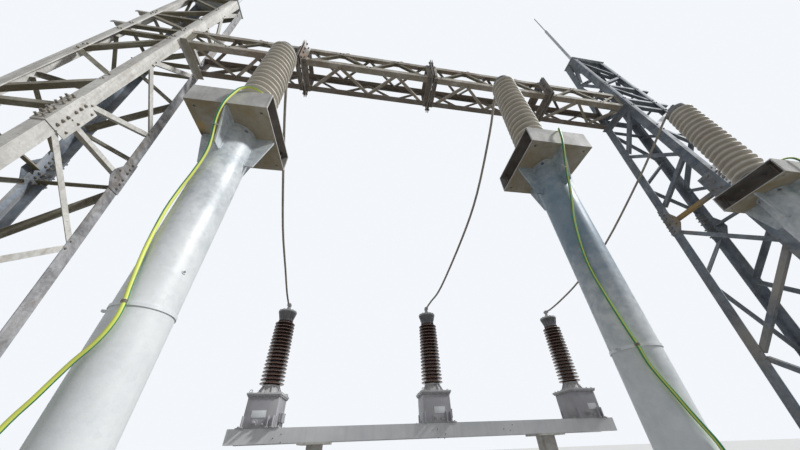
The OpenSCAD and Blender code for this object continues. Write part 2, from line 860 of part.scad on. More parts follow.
module cord(p, d, sides) {
    n = len(p);
    points = [for (i = [0 : n - 1])
        let (w = route_dir(p, i),
             u = unit(cross(w, abs(w[0]) > 0.9 ? [0, 1, 0] : [1, 0, 0])),
             v = cross(w, u))
        for (k = [0 : sides - 1])
            p[i] + d / 2 * (cos(k * 360 / sides) * u
                            + sin(k * 360 / sides) * v)];
    faces = concat(
        [[for (k = [0 : sides - 1]) k]],
        [for (i = [0 : n - 2], k = [0 : sides - 1])
            let (a = i * sides + k, b = i * sides + (k + 1) % sides)
            [a, a + sides, b + sides, b]],
        [[for (k = [sides - 1 : -1 : 0]) (n - 1) * sides + k]]);
    polyhedron(points, faces, convexity = 6);
}

// Routes of the conductors: how far along, how far sideways and how high
// each point lies
conductor_routes = [
    [[-1715, -1325, 4581], [-1715, -1315, 4581], [-1715, -1305, 4581],
     [-1715, -1267, 4574], [-1718, -1234, 4554], [-1722, -1205, 4513],
     [-1730, -1120, 4330],
     [-1790, -680, 4080], [-1860, -10, 3690], [-1920, 600, 3500],
     [-1970, 1000, 3420], [-1994, 1240, 3385], [-2000, 1305, 3383],
     [-2000, 1315, 3383], [-2000, 1325, 3383]],
    [[285, -1325, 4581], [285, -1315, 4581], [285, -1305, 4581],
     [284, -1266, 4574], [280, -1228, 4548], [273, -1180, 4487],
     [250, -1010, 4260],
     [200, -570, 3850], [150, -110, 3620], [70, 700, 3400],
     [20, 1100, 3385], [4, 1250, 3383], [0, 1305, 3383],
     [0, 1315, 3383], [0, 1325, 3383]],
    [[2285, -1325, 4581], [2285, -1315, 4581], [2285, -1305, 4581],
     [2283, -1260, 4560], [2270, -1180, 4500], [2250, -1030, 4380],
     [2210, -690, 4140], [2140, -20, 3740], [2080, 590, 3510],
     [2040, 1000, 3420], [2010, 1230, 3385], [2000, 1305, 3383],
     [2000, 1315, 3383], [2000, 1325, 3383]]
];

module conductor(i) {
    color(bare_wire) cord(smooth(conductor_routes[i + 1], 2), conductor_d, 8);
}

// Routes of the earth cables, seen from the pole's axis: out of the lug on
// the head, over its front edge, past the front gusset, down the tube and
// over the band to the lug on the foot flange
earth_top_left = [
    [150, -140, 3374], [150, -150, 3374], [150, -160, 3374],
    [146, -182, 3375], [134, -202, 3376], [115, -215, 3376],
    [92, -222, 3374], [68, -226, 3363], [49, -228, 3342], [34, -230, 3306],
    [14, -231, 3200], [4, -222, 3135], [-6, -204, 3085], [-13, -180, 3037]
];
earth_top_middle = [
    [50, -152, 3374], [50, -160, 3374], [50, -168, 3374],
    [46, -188, 3373], [37, -206, 3368], [23, -221, 3356],
    [8, -231, 3334], [-4, -234, 3287], [-12, -229, 3225],
    [-17, -219, 3175], [-18, -200, 3120], [-18, -178, 3062],
    [-18, -163, 3020]
];
earth_top_right = [
    [-60, -152, 3374], [-60, -160, 3374], [-60, -168, 3374],
    [-56, -188, 3374], [-45, -206, 3373], [-28, -219, 3370],
    [-10, -227, 3362], [8, -231, 3345], [18, -233, 3312], [8, -232, 3235],
    [-10, -229, 3186], [-17, -212, 3136], [-18, -188, 3082],
    [-18, -166, 3025]
];
earth_low_left = [
    [-15, -148, 2965], [-18, -128, 2897], [-28, -113, 2828],
    [-44, -100, 2730], [-58, -93, 2640], [-63, -92, 2500],
    [-46, -97, 2323], [-25, -104, 2209], [-7, -107, 2118],
    [5, -109, 2065], [9, -109, 2012], [2, -109, 1960], [-14, -108, 1917],
    [-35, -107, 1878], [-56, -105, 1830], [-76, -105, 1775],
    [-98, -106, 1720], [-114, -108, 1640], [-112, -112, 1520],
    [-76, -118, 1280], [-32, -122, 1000], [8, -122, 700],
    [36, -122, 350]
];
earth_low = [
    [-19, -145, 2968], [-18, -127, 2914], [-25, -113, 2844],
    [-42, -99, 2755], [-62, -87, 2668], [-80, -70, 2520],
    [-88, -59, 2354], [-84, -66, 2192], [-76, -77, 2038],
    [-70, -84, 1954], [-66, -87, 1878], [-54, -95, 1817],
    [-36, -103, 1754], [-17, -107, 1696], [3, -108, 1650],
    [24, -107, 1604], [38, -105, 1540], [44, -105, 1440],
    [42, -108, 1200], [36, -116, 900], [34, -121, 600], [38, -122, 350],
    [43, -122, 180]
];
earth_end = [[44, -122, 100], [44, -122, 75], [44, -122, 50]];
earth_routes = [
    concat(earth_top_left, earth_low_left, earth_end),
    concat(earth_top_middle, earth_low, earth_end),
    concat(earth_top_right, earth_low, earth_end)
];

module earth_cable(i) {
    color(cable_green)
        on_pole(i) cord(smooth(earth_routes[i + 1], 2), earth_d, 8);
}

column_front(-1);  // column_left_front
column_rear(-1);  // column_left_rear
column_inner(-1);  // column_left_inner_bracing
column_outer(-1);  // column_left_outer_bracing
lightning_rod(-1);  // lightning_rod_left
column_front(1);  // column_right_front
column_rear(1);  // column_right_rear
column_inner(1);  // column_right_inner_bracing
column_outer(1);  // column_right_outer_bracing
lightning_rod(1);  // lightning_rod_right
beam_front();
beam_rear();
beam_top_bracing();
beam_bottom_bracing();
beam_joint(0);  // beam_joint_left
beam_joint(1);  // beam_joint_middle
beam_joint(2);  // beam_joint_right
pole(-1);  // pole_left
pole(0);  // pole_middle
pole(1);  // pole_right
pole_head(-1);  // pole_head_left
pole_head(0);  // pole_head_middle
pole_head(1);  // pole_head_right
post_insulator(-1);  // post_insulator_left
post_insulator(0);  // post_insulator_middle
post_insulator(1);  // post_insulator_right
earth_cable(-1);  // earth_cable_left
earth_cable(0);  // earth_cable_middle
earth_cable(1);  // earth_cable_right
channel_front();  // transformer_channel_front
channel_rear();  // transformer_channel_rear
vt_support(-1);  // transformer_support_left
vt_support(1);  // transformer_support_right
vt_tank(-1);  // transformer_tank_left
vt_tank(0);  // transformer_tank_middle
vt_tank(1);  // transformer_tank_right
vt_porcelain(-1);  // transformer_porcelain_left
vt_porcelain(0);  // transformer_porcelain_middle
vt_porcelain(1);  // transformer_porcelain_right
vt_head(-1);  // transformer_head_left
vt_head(0);  // transformer_head_middle
vt_head(1);  // transformer_head_right
conductor(-1);  // conductor_left
conductor(0);  // conductor_middle
conductor(1);  // conductor_right
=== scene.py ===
import bpy
import bmesh
from math import cos, pi, radians, sin
from mathutils import Matrix, Vector


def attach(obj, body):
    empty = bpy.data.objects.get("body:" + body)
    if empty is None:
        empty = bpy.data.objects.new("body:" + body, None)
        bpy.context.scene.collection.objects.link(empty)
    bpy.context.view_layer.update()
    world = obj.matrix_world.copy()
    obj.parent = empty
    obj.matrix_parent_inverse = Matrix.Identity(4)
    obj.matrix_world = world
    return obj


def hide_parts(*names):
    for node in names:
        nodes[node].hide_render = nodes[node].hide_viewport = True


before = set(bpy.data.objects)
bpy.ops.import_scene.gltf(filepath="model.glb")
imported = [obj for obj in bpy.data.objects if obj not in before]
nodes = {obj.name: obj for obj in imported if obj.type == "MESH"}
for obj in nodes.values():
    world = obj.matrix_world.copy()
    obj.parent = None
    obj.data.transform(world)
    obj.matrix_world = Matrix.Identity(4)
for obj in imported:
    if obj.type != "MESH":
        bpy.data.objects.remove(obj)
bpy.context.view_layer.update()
scene = bpy.context.scene
up = Vector((0, 0, 1))
front = Vector((0, -1, 0))

print("stage: camera")
cameraSpec = {
    "place": (-0.906, -2.4343, 1.6271), "yaw": 9.65, "pitch": 34.413, "roll": -2.522,
    "lens": 12.322, "sensor": 36, "shift": (-0.00903, 0.04489), "clip": (0.02, 400),
}


def makeCamera(spec):
    yaw, pitch, roll = (radians(spec[key]) for key in ("yaw", "pitch", "roll"))
    ahead = Vector((sin(yaw) * cos(pitch), cos(yaw) * cos(pitch), sin(pitch)))
    level = Vector((cos(yaw), -sin(yaw), 0))
    over = level.cross(ahead)
    right = cos(roll) * level + sin(roll) * over
    top = cos(roll) * over - sin(roll) * level
    data = bpy.data.cameras.new("camera")
    data.sensor_width = spec["sensor"]
    data.lens = spec["lens"]
    data.shift_x, data.shift_y = spec["shift"]
    data.clip_start, data.clip_end = spec["clip"]
    camera = bpy.data.objects.new("camera", data)
    turn = Matrix((right, top, -ahead)).transposed().to_4x4()
    camera.matrix_world = Matrix.Translation(spec["place"]) @ turn
    scene.collection.objects.link(camera)
    scene.camera = camera


makeCamera(cameraSpec)

print("stage: shader groups")


def feed(node, inputs):
    # Links an input to another node's output, or sets it to a plain value
    for key, value in inputs.items():
        socket = node.inputs[key]
        if isinstance(value, bpy.types.NodeSocket):
            node.id_data.links.new(value, socket)
        else:
            socket.default_value = (*value, 1) if socket.type == "RGBA" else value
    return node


def addNode(tree, kind, inputs=None, **settings):
    node = tree.nodes.new("ShaderNode" + kind)
    for key, value in settings.items():
        setattr(node, key, value)
    return feed(node, inputs or {})


def mathNode(tree, operation, *values, clamp=False):
    return addNode(tree, "Math", dict(enumerate(values)), operation=operation,
                   use_clamp=clamp).outputs[0]


def times(tree, a, b):
    return mathNode(tree, "MULTIPLY", a, b)


def rangeNode(tree, value, low, high, toLow=0.0, toHigh=1.0):
    return addNode(tree, "MapRange", {0: value, 1: low, 2: high, 3: toLow, 4: toHigh}).outputs[0]


def mixColour(tree, share, a, b, blend="MIX"):
    return addNode(tree, "Mix", {0: share, 6: a, 7: b}, data_type="RGBA", blend_type=blend,
                   clamp_factor=True).outputs[2]


def layer(tree, colour, mask, share, tint):
    # Dirt, shade or wear over the colours below it
    return mixColour(tree, times(tree, mask, share), colour, tint)


def axisOf(tree, vector, axis):
    return addNode(tree, "SeparateXYZ", {0: vector}).outputs[axis]


def noise(tree, vector, scale, detail, roughness=0.55, distortion=0.0):
    return addNode(tree, "TexNoise", {
        "Vector": vector, "Scale": scale, "Detail": detail, "Roughness": roughness,
        "Distortion": distortion}).outputs["Fac"]


def startGroup(name, inputs, outputs):
    group = bpy.data.node_groups.new(name, "ShaderNodeTree")
    for label, value in inputs.items():
        kind = "NodeSocketFloat" if isinstance(value, float) else "NodeSocketVector"
        socket = group.interface.new_socket(label, in_out="INPUT", socket_type=kind)
        socket.default_value = value
    for label in outputs:
        group.interface.new_socket(label, in_out="OUTPUT", socket_type="NodeSocketFloat")
    inside = group.nodes.new("NodeGroupInput").outputs
    return group, inside, group.nodes.new("NodeGroupOutput")


def makeWeatherGroup():
    group, inside, outside = startGroup(
        "weather", {"Vector": (0, 0, 0), "Size": 1.0}, ("Patches", "Streaks", "Specks", "Grain"))
    spot = addNode(group, "VectorMath", {0: inside["Vector"], "Scale": inside["Size"]},
                   operation="SCALE").outputs[0]
    run = addNode(group, "Mapping", {"Vector": spot, "Scale": (16.0, 16.0, 0.9)}).outputs[0]
    feed(outside, {
        "Patches": rangeNode(group, noise(group, spot, 3.0, 5.0, 0.6, 0.4), 0.36, 0.66),
        "Streaks": rangeNode(group, noise(group, run, 1.0, 4.0, 0.6, 0.2), 0.5, 0.72),
        "Specks": rangeNode(group, noise(group, spot, 38.0, 4.0, 0.65), 0.58, 0.7),
        "Grain": noise(group, spot, 160.0, 3.0, 0.7)})
    return group


def makeSpangleGroup():
    group, inside, outside = startGroup(
        "spangle", {"Vector": (0, 0, 0), "Scale": 60.0}, ("Cells", "Cloud"))
    cells = addNode(group, "TexVoronoi", {"Vector": inside["Vector"], "Scale": inside["Scale"]},
                    feature="F1").outputs["Color"]
    feed(outside, {"Cells": addNode(group, "SeparateColor", {0: cells}).outputs[0],
                   "Cloud": noise(group, inside["Vector"], 9.0, 6.0, 0.7, 0.6)})
    return group


def makeSpotGroup():
    group, inside, outside = startGroup(
        "spot", {"Vector": (0, 0, 0), "Centre": (0, 0, 0), "Radius": 0.1}, ("Mask",))
    gap = addNode(group, "VectorMath", {0: inside["Vector"], 1: inside["Centre"]},
                  operation="DISTANCE").outputs["Value"]
    ragged = times(group, noise(group, inside["Vector"], 22.0, 5.0, 0.65), inside["Radius"])
    share = mathNode(group, "DIVIDE", mathNode(group, "ADD", gap, ragged), inside["Radius"])
    feed(outside, {"Mask": rangeNode(group, share, 1.35, 0.75)})
    return group


weatherGroup = makeWeatherGroup()
spangleGroup = makeSpangleGroup()
spotGroup = makeSpotGroup()


def useGroup(tree, group, vector, inputs):
    return addNode(tree, "Group", {"Vector": vector, **inputs}, node_tree=group).outputs


def startMaterial(name):
    material = bpy.data.materials.new(name)
    material.use_nodes = True
    tree = material.node_tree
    return material, tree, tree.nodes["Principled BSDF"], addNode(tree, "TexCoord").outputs["Object"]


def faceUp(tree):
    return axisOf(tree, addNode(tree, "NewGeometry").outputs["Normal"], "Z")


# One finish for all bare and painted metal; each dictionary is one surface, and some are darker
# copies that paint shade
def makeMetal(name, spec):
    material, tree, shader, place = startMaterial(name)
    weather = useGroup(tree, weatherGroup, place, {"Size": spec["size"]})
    patches = weather["Patches"]
    colour = mixColour(tree, patches, spec["dark"], spec["light"])
    if spec["spangle"]:
        spangle = useGroup(tree, spangleGroup, place, {"Scale": spec["spangle"]})
        cells = rangeNode(tree, spangle["Cells"], 0.0, 1.0, 1 - spec["cells"], 1 + spec["cells"])
        grey = addNode(tree, "CombineColor", {0: cells, 1: cells, 2: cells}).outputs[0]
        colour = mixColour(tree, 1.0, colour, grey, "MULTIPLY")
        cloud = rangeNode(tree, spangle["Cloud"], 0.42, 0.68)
        colour = layer(tree, colour, cloud, spec["cloud"], spec["bloom"])
    colour = layer(tree, colour, weather["Streaks"], spec["stainShare"], spec["stain"])
    rust = times(tree, times(tree, weather["Specks"], patches), spec["rustShare"])
    colour = mixColour(tree, rust, colour, spec["rust"])
    facing = faceUp(tree)
    dust = rangeNode(tree, facing, 0.25, 0.95)
    colour = layer(tree, colour, dust, spec["dustShare"], spec["dust"])
    # Painted shade and dirt: faces that point down are darkened towards the under colour, a little
    # less in the light patches
    under = times(tree, rangeNode(tree, facing, -0.3, -0.95),
                  rangeNode(tree, patches, 0.0, 1.0, 1.0, 0.55))
    colour = layer(tree, colour, under, spec["underDirtShadeShare"], spec["under"])
    # Edge wear and painted highlight: the bevelled edges are lightened towards the bloom colour
    wornEdgeHighlight = addNode(tree, "Attribute", attribute_name="edge").outputs["Fac"]
    colour = layer(tree, colour, wornEdgeHighlight, spec["edgeWearHighlightShare"], spec["bloom"])
    if "heightTint" in spec:
        high, low, tint, share = spec["heightTint"]
        near = rangeNode(tree, axisOf(tree, place, "Z"), high, low)
        colour = layer(tree, colour, near, share, tint)
    for centre, radius, tint, share in spec.get("spots", ()):
        mask = useGroup(tree, spotGroup, place, {"Centre": centre, "Radius": radius})["Mask"]
        colour = layer(tree, colour, mask, share, tint)
    rough = rangeNode(tree, patches, 0.0, 1.0, spec["rough"] + 0.08, spec["rough"] - 0.08)
    rough = mathNode(tree, "ADD", rough, times(tree, rust, 0.3), clamp=True)
    height = mathNode(tree, "ADD", weather["Grain"], times(tree, patches, 0.8))
    bump = addNode(tree, "Bump", {"Strength": spec["bump"], "Distance": 0.002, "Height": height})
    feed(shader, {"Base Color": colour, "Roughness": rough, "Metallic": spec["metal"],
                  "Specular IOR Level": spec["shine"], "Normal": bump.outputs[0]})
    return material


print("stage: materials")
gantryFinish = dict(
    dark=(0.58, 0.565, 0.53), light=(0.80, 0.79, 0.745), size=1.0,
    spangle=34.0, cells=0.10, cloud=0.25, bloom=(0.80, 0.79, 0.76), edgeWearHighlightShare=0.6,
    stain=(0.26, 0.205, 0.14), stainShare=0.5, rust=(0.26, 0.11, 0.04), rustShare=0.45,
    dust=(0.50, 0.46, 0.39), dustShare=0.25, under=(0.40, 0.34, 0.235), underDirtShadeShare=0.8,
    rough=0.7, metal=0.0, shine=0.16, bump=0.15)
beamFinish = dict(
    gantryFinish, dark=(0.41, 0.375, 0.315), light=(0.80, 0.765, 0.685),
    bloom=(0.82, 0.79, 0.73), under=(0.37, 0.30, 0.215), stain=(0.24, 0.175, 0.11),
    stainShare=0.6, spots=[((0.7, -0.3, 7.6), 0.5, (0.30, 0.19, 0.13), 0.6),
                           ((-2.8, -0.3, 7.15), 0.6, (0.30, 0.20, 0.15), 0.5)])
headFinish = dict(
    gantryFinish, dark=(0.55, 0.55, 0.535), light=(0.73, 0.725, 0.70), size=2.2, cells=0.05,
    stain=(0.30, 0.25, 0.20), stainShare=0.35, under=(0.42, 0.325, 0.185), underDirtShadeShare=0.9,
    rough=0.65, spots=[((-1.715, -1.365, 3.2), 0.16, (0.20, 0.145, 0.08), 0.6),
                       ((0.285, -1.365, 3.2), 0.16, (0.20, 0.145, 0.09), 0.6),
                       ((2.285, -1.365, 3.2), 0.16, (0.24, 0.18, 0.08), 0.6),
                       ((-1.92, -1.37, 3.2), 0.06, (0.16, 0.12, 0.07), 0.8),
                       ((-1.90, -1.425, 3.2), 0.055, (0.66, 0.47, 0.22), 0.9)])
tankFinish = dict(
    gantryFinish, dark=(0.40, 0.395, 0.42), light=(0.54, 0.535, 0.56), spangle=0,
    bloom=(0.68, 0.68, 0.69), edgeWearHighlightShare=0.4, stain=(0.33, 0.31, 0.31), stainShare=0.45,
    rustShare=0.08, underDirtShadeShare=0.35, rough=0.48, shine=0.4,
    heightTint=(2.184, 2.19, (0.72, 0.72, 0.71), 0.6),
    spots=[((x, 1.365, 2.245), 0.13, (0.13, 0.11, 0.10), 0.85) for x in (-2.0, 0.0, 2.0)])
boltFinish = dict(
    gantryFinish, dark=(0.15, 0.13, 0.11), light=(0.44, 0.415, 0.365), size=5.0, spangle=0,
    stainShare=0.4, rustShare=0.8, underDirtShadeShare=0.5, metal=0.1, rough=0.5)

gantryZinc = makeMetal("gantryZinc", gantryFinish)
# Painted shade: a darker copy of the gantry finish for the bars and the left column's outer side,
# which stand in shade
barShadeZinc = makeMetal("barShadeZinc", dict(
    gantryFinish, dark=(0.20, 0.185, 0.14), light=(0.44, 0.42, 0.345), bloom=(0.66, 0.65, 0.58),
    stain=(0.13, 0.10, 0.06), under=(0.18, 0.15, 0.09),
    spots=[((-4.95, -0.1, 7.75), 0.2, (0.50, 0.27, 0.08), 0.8)]))
beamZinc = makeMetal("beamZinc", beamFinish)
# Painted shade: a darker copy of the beam finish for the beam's joints, rear frame and top bracing,
# which stand in shade
jointShadeZinc = makeMetal("jointShadeZinc", dict(
    beamFinish, dark=(0.19, 0.175, 0.165), light=(0.40, 0.37, 0.34), under=(0.22, 0.17, 0.125),
    spots=[((-2.12, -0.34, 7.62), 0.2, (0.92, 0.93, 0.95), 1.0),
           ((-2.2, -0.34, 7.25), 0.22, (0.33, 0.20, 0.12), 0.6),
           ((0.07, -0.3, 7.68), 0.18, (0.24, 0.30, 0.40), 0.85),
           ((2.37, -0.3, 7.68), 0.18, (0.24, 0.30, 0.40), 0.85)]))
shadeZinc = makeMetal("shadeZinc", dict(
    gantryFinish, dark=(0.14, 0.14, 0.15), light=(0.40, 0.40, 0.41), cloud=0.5, size=0.6,
    bloom=(0.74, 0.75, 0.77), under=(0.24, 0.22, 0.19)))
# Painted shade: a dark slate copy of the gantry finish for the right column and the left column's
# outer rear leg, which stand in shade
farShadeZinc = makeMetal("farShadeZinc", dict(
    gantryFinish, dark=(0.145, 0.175, 0.215), light=(0.30, 0.345, 0.40),
    bloom=(0.60, 0.635, 0.67), under=(0.15, 0.155, 0.155),
    spots=[((4.05, 0.0, 4.56), 0.44, (0.50, 0.33, 0.12), 0.85),
           ((4.05, -0.2, 3.2), 0.55, (0.50, 0.46, 0.40), 0.8),
           ((4.05, 0.47, 2.6), 0.5, (0.44, 0.41, 0.37), 0.7)]))
# Painted light: the height tint lightens the poles towards the bottom, the first spot paints shade
# on the middle pole's top, the second paints light on its foot and the third paints a highlight on
# the left pole
poleZinc = makeMetal("poleZinc", dict(
    gantryFinish, dark=(0.41, 0.465, 0.51), light=(0.74, 0.78, 0.80), spangle=48.0, cells=0.13,
    cloud=0.7, bloom=(0.84, 0.87, 0.885), stain=(0.46, 0.48, 0.48), stainShare=0.25,
    rustShare=0.03, underDirtShadeShare=0.2, rough=0.46, metal=0.05, shine=0.22,
    heightTint=(2.6, 1.5, (0.86, 0.89, 0.90), 0.7),
    spots=[((0.285, -1.365, 2.7), 0.8, (0.20, 0.29, 0.37), 0.8),
           ((0.285, -1.365, 1.2), 0.8, (0.90, 0.94, 0.98), 0.8),
           ((-1.715, -1.365, 2.1), 1.0, (0.95, 0.96, 0.955), 0.5)]))
headZinc = makeMetal("headZinc", headFinish)
# Painted shade: a darker copy of the head finish for the head's inner faces
headInsideShade = makeMetal("headInsideShade", dict(
    headFinish, dark=(0.22, 0.20, 0.19), light=(0.42, 0.40, 0.385), under=(0.20, 0.175, 0.16),
    spots=()))
tankPaint = makeMetal("tankPaint", tankFinish)
cupPaint = makeMetal("cupPaint", dict(
    tankFinish, dark=(0.09, 0.09, 0.10), light=(0.18, 0.18, 0.19), size=3.0,
    heightTint=(3.252, 3.262, (0.66, 0.67, 0.68), 0.85), spots=()))
channelPaint = makeMetal("channelPaint", dict(
    tankFinish, dark=(0.76, 0.775, 0.79), light=(0.88, 0.89, 0.905), rustShare=0.1,
    stainShare=0.15, spots=()))
castIron = makeMetal("castIron", dict(
    gantryFinish, dark=(0.20, 0.21, 0.23), light=(0.36, 0.37, 0.39), size=3.0, spangle=0,
    under=(0.22, 0.21, 0.20), underDirtShadeShare=0.5, rustShare=0.2))
boltZinc = makeMetal("boltZinc", boltFinish)
# Painted shade: near-black steel for the head bolts, so the holes that they end in read dark
pinShadeSteel = makeMetal("pinShadeSteel", dict(
    boltFinish, dark=(0.05, 0.04, 0.035), light=(0.13, 0.11, 0.09), bloom=(0.16, 0.14, 0.12)))
plateMetal = makeMetal("plateMetal", dict(
    tankFinish, dark=(0.84, 0.86, 0.88), light=(0.92, 0.94, 0.96), size=6.0, metal=0.05,
    rough=0.35, stainShare=0.15, rustShare=0.0))


def makeGlaze(name, spec):
    material, tree, shader, place = startMaterial(name)
    weather = useGroup(tree, weatherGroup, place, {"Size": spec["size"]})
    colour = mixColour(tree, weather["Patches"], spec["dark"], spec["light"])
    facing = faceUp(tree)
    rim = addNode(tree, "Attribute", attribute_name="rim").outputs["Fac"]
    # Painted shade and dirt: the under colour darkens the sheds' undersides; painted highlight: the
    # rim colour lightens their rims; dust and specks are dirt
    for mask, share, tint in ((rangeNode(tree, facing, 0.1, 0.8), "dustShare", "dust"),
                              (rangeNode(tree, facing, -0.2, -0.9), "underDirtShadeShare", "under"),
                              (weather["Specks"], "speckShare", "dust"),
                              (rangeNode(tree, rim, *spec["rimFrom"]), "rimShare", "rim")):
        colour = layer(tree, colour, mask, spec[share], spec[tint])
    rough = rangeNode(tree, weather["Patches"], 0.0, 1.0, spec["rough"] + 0.12, spec["rough"])
    feed(shader, {"Base Color": colour, "Roughness": rough, "Specular IOR Level": spec["shine"],
                  "Coat Weight": spec["coat"], "Coat Roughness": 0.12})
    return material


postGlaze = makeGlaze("postGlaze", dict(
    size=2.0, dark=(0.64, 0.60, 0.525), light=(0.80, 0.76, 0.675), dust=(0.74, 0.70, 0.61),
    dustShare=0.35, under=(0.36, 0.315, 0.25), underDirtShadeShare=0.5, speckShare=0.2, rough=0.42,
    shine=0.35, coat=0.0, rim=(0.70, 0.66, 0.585), rimFrom=(0.8, 0.98), rimShare=0.4))
brownGlaze = makeGlaze("brownGlaze", dict(
    size=2.0, dark=(0.026, 0.010, 0.007), light=(0.060, 0.024, 0.017), dust=(0.14, 0.075, 0.05),
    dustShare=0.15, under=(0.022, 0.009, 0.007), underDirtShadeShare=0.6, speckShare=0.1, rough=0.2,
    shine=0.4, coat=0.5, rim=(0.50, 0.30, 0.21), rimFrom=(0.9, 1.0), rimShare=0.45))

# The start of a node's name tells its finish, the longest start first
# Painted shade: the left column's outer side, the right column and the beam's joints, rear frame and
# top bracing take darker copies of the zinc finishes
nodeFinishes = {
    "column_left": gantryZinc, "column_left_outer": barShadeZinc, "column_right": farShadeZinc,
    "lightning": poleZinc, "beam": beamZinc, "beam_joint": jointShadeZinc, "beam_rear": jointShadeZinc,
    "beam_top": jointShadeZinc, "pole": poleZinc, "pole_head": headZinc, "post_insulator": postGlaze,
    "transformer_channel": channelPaint, "transformer_support": gantryZinc,
    "transformer_tank": tankPaint, "transformer_porcelain": brownGlaze,
    "transformer_head": tankPaint, "earth": poleZinc, "conductor": gantryZinc,
}


def nodeFinish(name):
    return nodeFinishes[max((key for key in nodeFinishes if name.startswith(key)), key=len)]


for name, node in nodes.items():
    node.data.materials.clear()
    node.data.materials.append(nodeFinish(name))

print("stage: shapes")


def finishPiece(bm, name, material, replaced=(), angle=32, place=(0, 0, 0)):
    # A piece is shaped about its own axis and moved to its place here
    bmesh.ops.translate(bm, vec=place, verts=bm.verts)
    bmesh.ops.recalc_face_normals(bm, faces=bm.faces)
    mesh = bpy.data.meshes.new(name)
    bm.to_mesh(mesh)
    bm.free()
    mesh.shade_smooth()
    mesh.set_sharp_from_angle(angle=radians(angle))
    mesh.materials.append(material)
    piece = bpy.data.objects.new(name, mesh)
    scene.collection.objects.link(piece)
    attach(piece, "root")
    if replaced:
        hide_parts(*replaced)
    return piece


def around(turn, radius=1.0, z=0.0):
    # A point on a circle about the upright axis, its turn in degrees
    return Vector((radius * cos(radians(turn)), radius * sin(radians(turn)), z))


def aimAt(place, direction, turn=0.0):
    tilt = Vector(direction).to_track_quat("Z", "Y").to_matrix().to_4x4()
    return Matrix.Translation(place) @ tilt @ Matrix.Rotation(turn, 4, "Z")


def addBox(bm, low, high, soft):
    low, high = Vector(low), Vector(high)
    shape = Matrix.LocRotScale((low + high) / 2, None, high - low)
    verts = bmesh.ops.create_cube(bm, size=1, matrix=shape)["verts"]
    bmesh.ops.bevel(bm, geom=list({e for v in verts for e in v.link_edges}), offset=soft,
                    offset_type="OFFSET", segments=2, profile=0.5, affect="EDGES", material=-1)


def addRod(bm, a, b, radius, sides=16, endRadius=None):
    a, b = Vector(a), Vector(b)
    bmesh.ops.create_cone(bm, cap_ends=True, segments=sides, radius1=radius,
                          radius2=radius if endRadius is None else endRadius,
                          depth=(b - a).length, matrix=aimAt((a + b) / 2, b - a))


def addLathe(bm, profile, base=0.0, steps=64):
    verts = [bm.verts.new((r, 0, base + z)) for r, z in profile]
    edges = [bm.edges.new(pair) for pair in zip(verts, verts[1:])]
    bmesh.ops.spin(bm, geom=verts + edges, cent=(0, 0, 0), axis=up, angle=2 * pi,
                   steps=steps, use_merge=True)
    bmesh.ops.remove_doubles(bm, verts=bm.verts, dist=1e-5)


def addRing(bm, matrix, radius, thickness, steps=48, sides=8):
    # A bead of round section, such as a weld or a tie
    ring = bmesh.ops.create_circle(bm, segments=sides, radius=thickness / 2)["verts"]
    bmesh.ops.transform(bm, matrix=matrix @ Matrix.Translation((radius, 0, 0))
                        @ Matrix.Rotation(pi / 2, 4, "X"), verts=ring)
    edges = list({e for v in ring for e in v.link_edges})
    bmesh.ops.spin(bm, geom=ring + edges, cent=matrix.translation, axis=matrix.to_3x3() @ up,
                   angle=2 * pi, steps=steps, use_merge=True)


def addBolt(bm, place, direction, size, turn=0.0):
    # Washer, hexagon and the end of the thread
    for sides, wide, top, low, high in ((10, 0.98, 0.98, 0.0, 0.16),
                                        (6, 0.88, 0.84, 0.15, 0.8),
                                        (6, 0.5, 0.42, 0.79, 1.15)):
        lift = Matrix.Translation(up * size * (low + high) / 2)
        bmesh.ops.create_cone(bm, cap_ends=True, segments=sides, radius1=size * wide,
                              radius2=size * top, depth=size * (high - low),
                              matrix=aimAt(place, direction, turn) @ lift)


def boltPair(place, normal, grip, size, *stud):
    # The two ends of a bolt, on the outer face and behind the metal that it grips
    return [(place, normal, size, *stud), (place - normal * grip, -normal, size)]


def makeBolts(name, bolts):
    bm = bmesh.new()
    for number, (place, direction, size, *stud) in enumerate(bolts):
        addBolt(bm, place, direction, size, number * 0.7)
        if stud:
            addRod(bm, place, place + direction * stud[0], size * 0.76, 6)
    finishPiece(bm, name, boltZinc)


def softenNode(name, width, material, pick=None, others=()):
    # A copy of the node with its flats joined and its sharp edges taken off.
    # pick tells from a face's middle which of the finishes it has
    bm = bmesh.new()
    bm.from_mesh(nodes[name].data)
    edge = bm.faces.layers.float.new("edge")
    bmesh.ops.remove_doubles(bm, verts=bm.verts, dist=2e-5)
    bmesh.ops.dissolve_limit(bm, angle_limit=radians(0.5), verts=bm.verts, edges=bm.edges)
    sharp = [e for e in bm.edges
             if e.is_manifold and e.calc_face_angle_signed(0) > radians(50)]
    made = bmesh.ops.bevel(bm, geom=sharp, offset=width, offset_type="OFFSET", segments=1,
                           profile=0.5, affect="EDGES", material=-1, clamp_overlap=True)
    for face in made["faces"]:
        face[edge] = 1.0
    if pick:
        for face in bm.faces:
            face.material_index = pick(face.calc_center_bounds())
    piece = finishPiece(bm, name + "_edges", material, (name,), angle=40)
    for other in others:
        piece.data.materials.append(other)


print("stage: cords")


def smoothPath(points, steps):
    points = [Vector(p) / 1000 for p in points]
    last = len(points) - 1
    path = []
    for i in range(last):
        a, b = points[max(i - 1, 0)], points[i]
        c, d = points[i + 1], points[min(i + 2, last)]
        for k in range(steps):
            t = k / steps
            path.append(0.5 * (2 * b + (c - a) * t + (2 * a - 5 * b + 4 * c - d) * t * t
                               + (3 * b - 3 * c + d - a) * t ** 3))
    path.append(points[last])
    return path


def drift(marks, run):
    for (a, low), (b, high) in zip(marks, marks[1:]):
        if run <= b:
            return low + (high - low) * (run - a) / (b - a)
    return marks[-1][1]


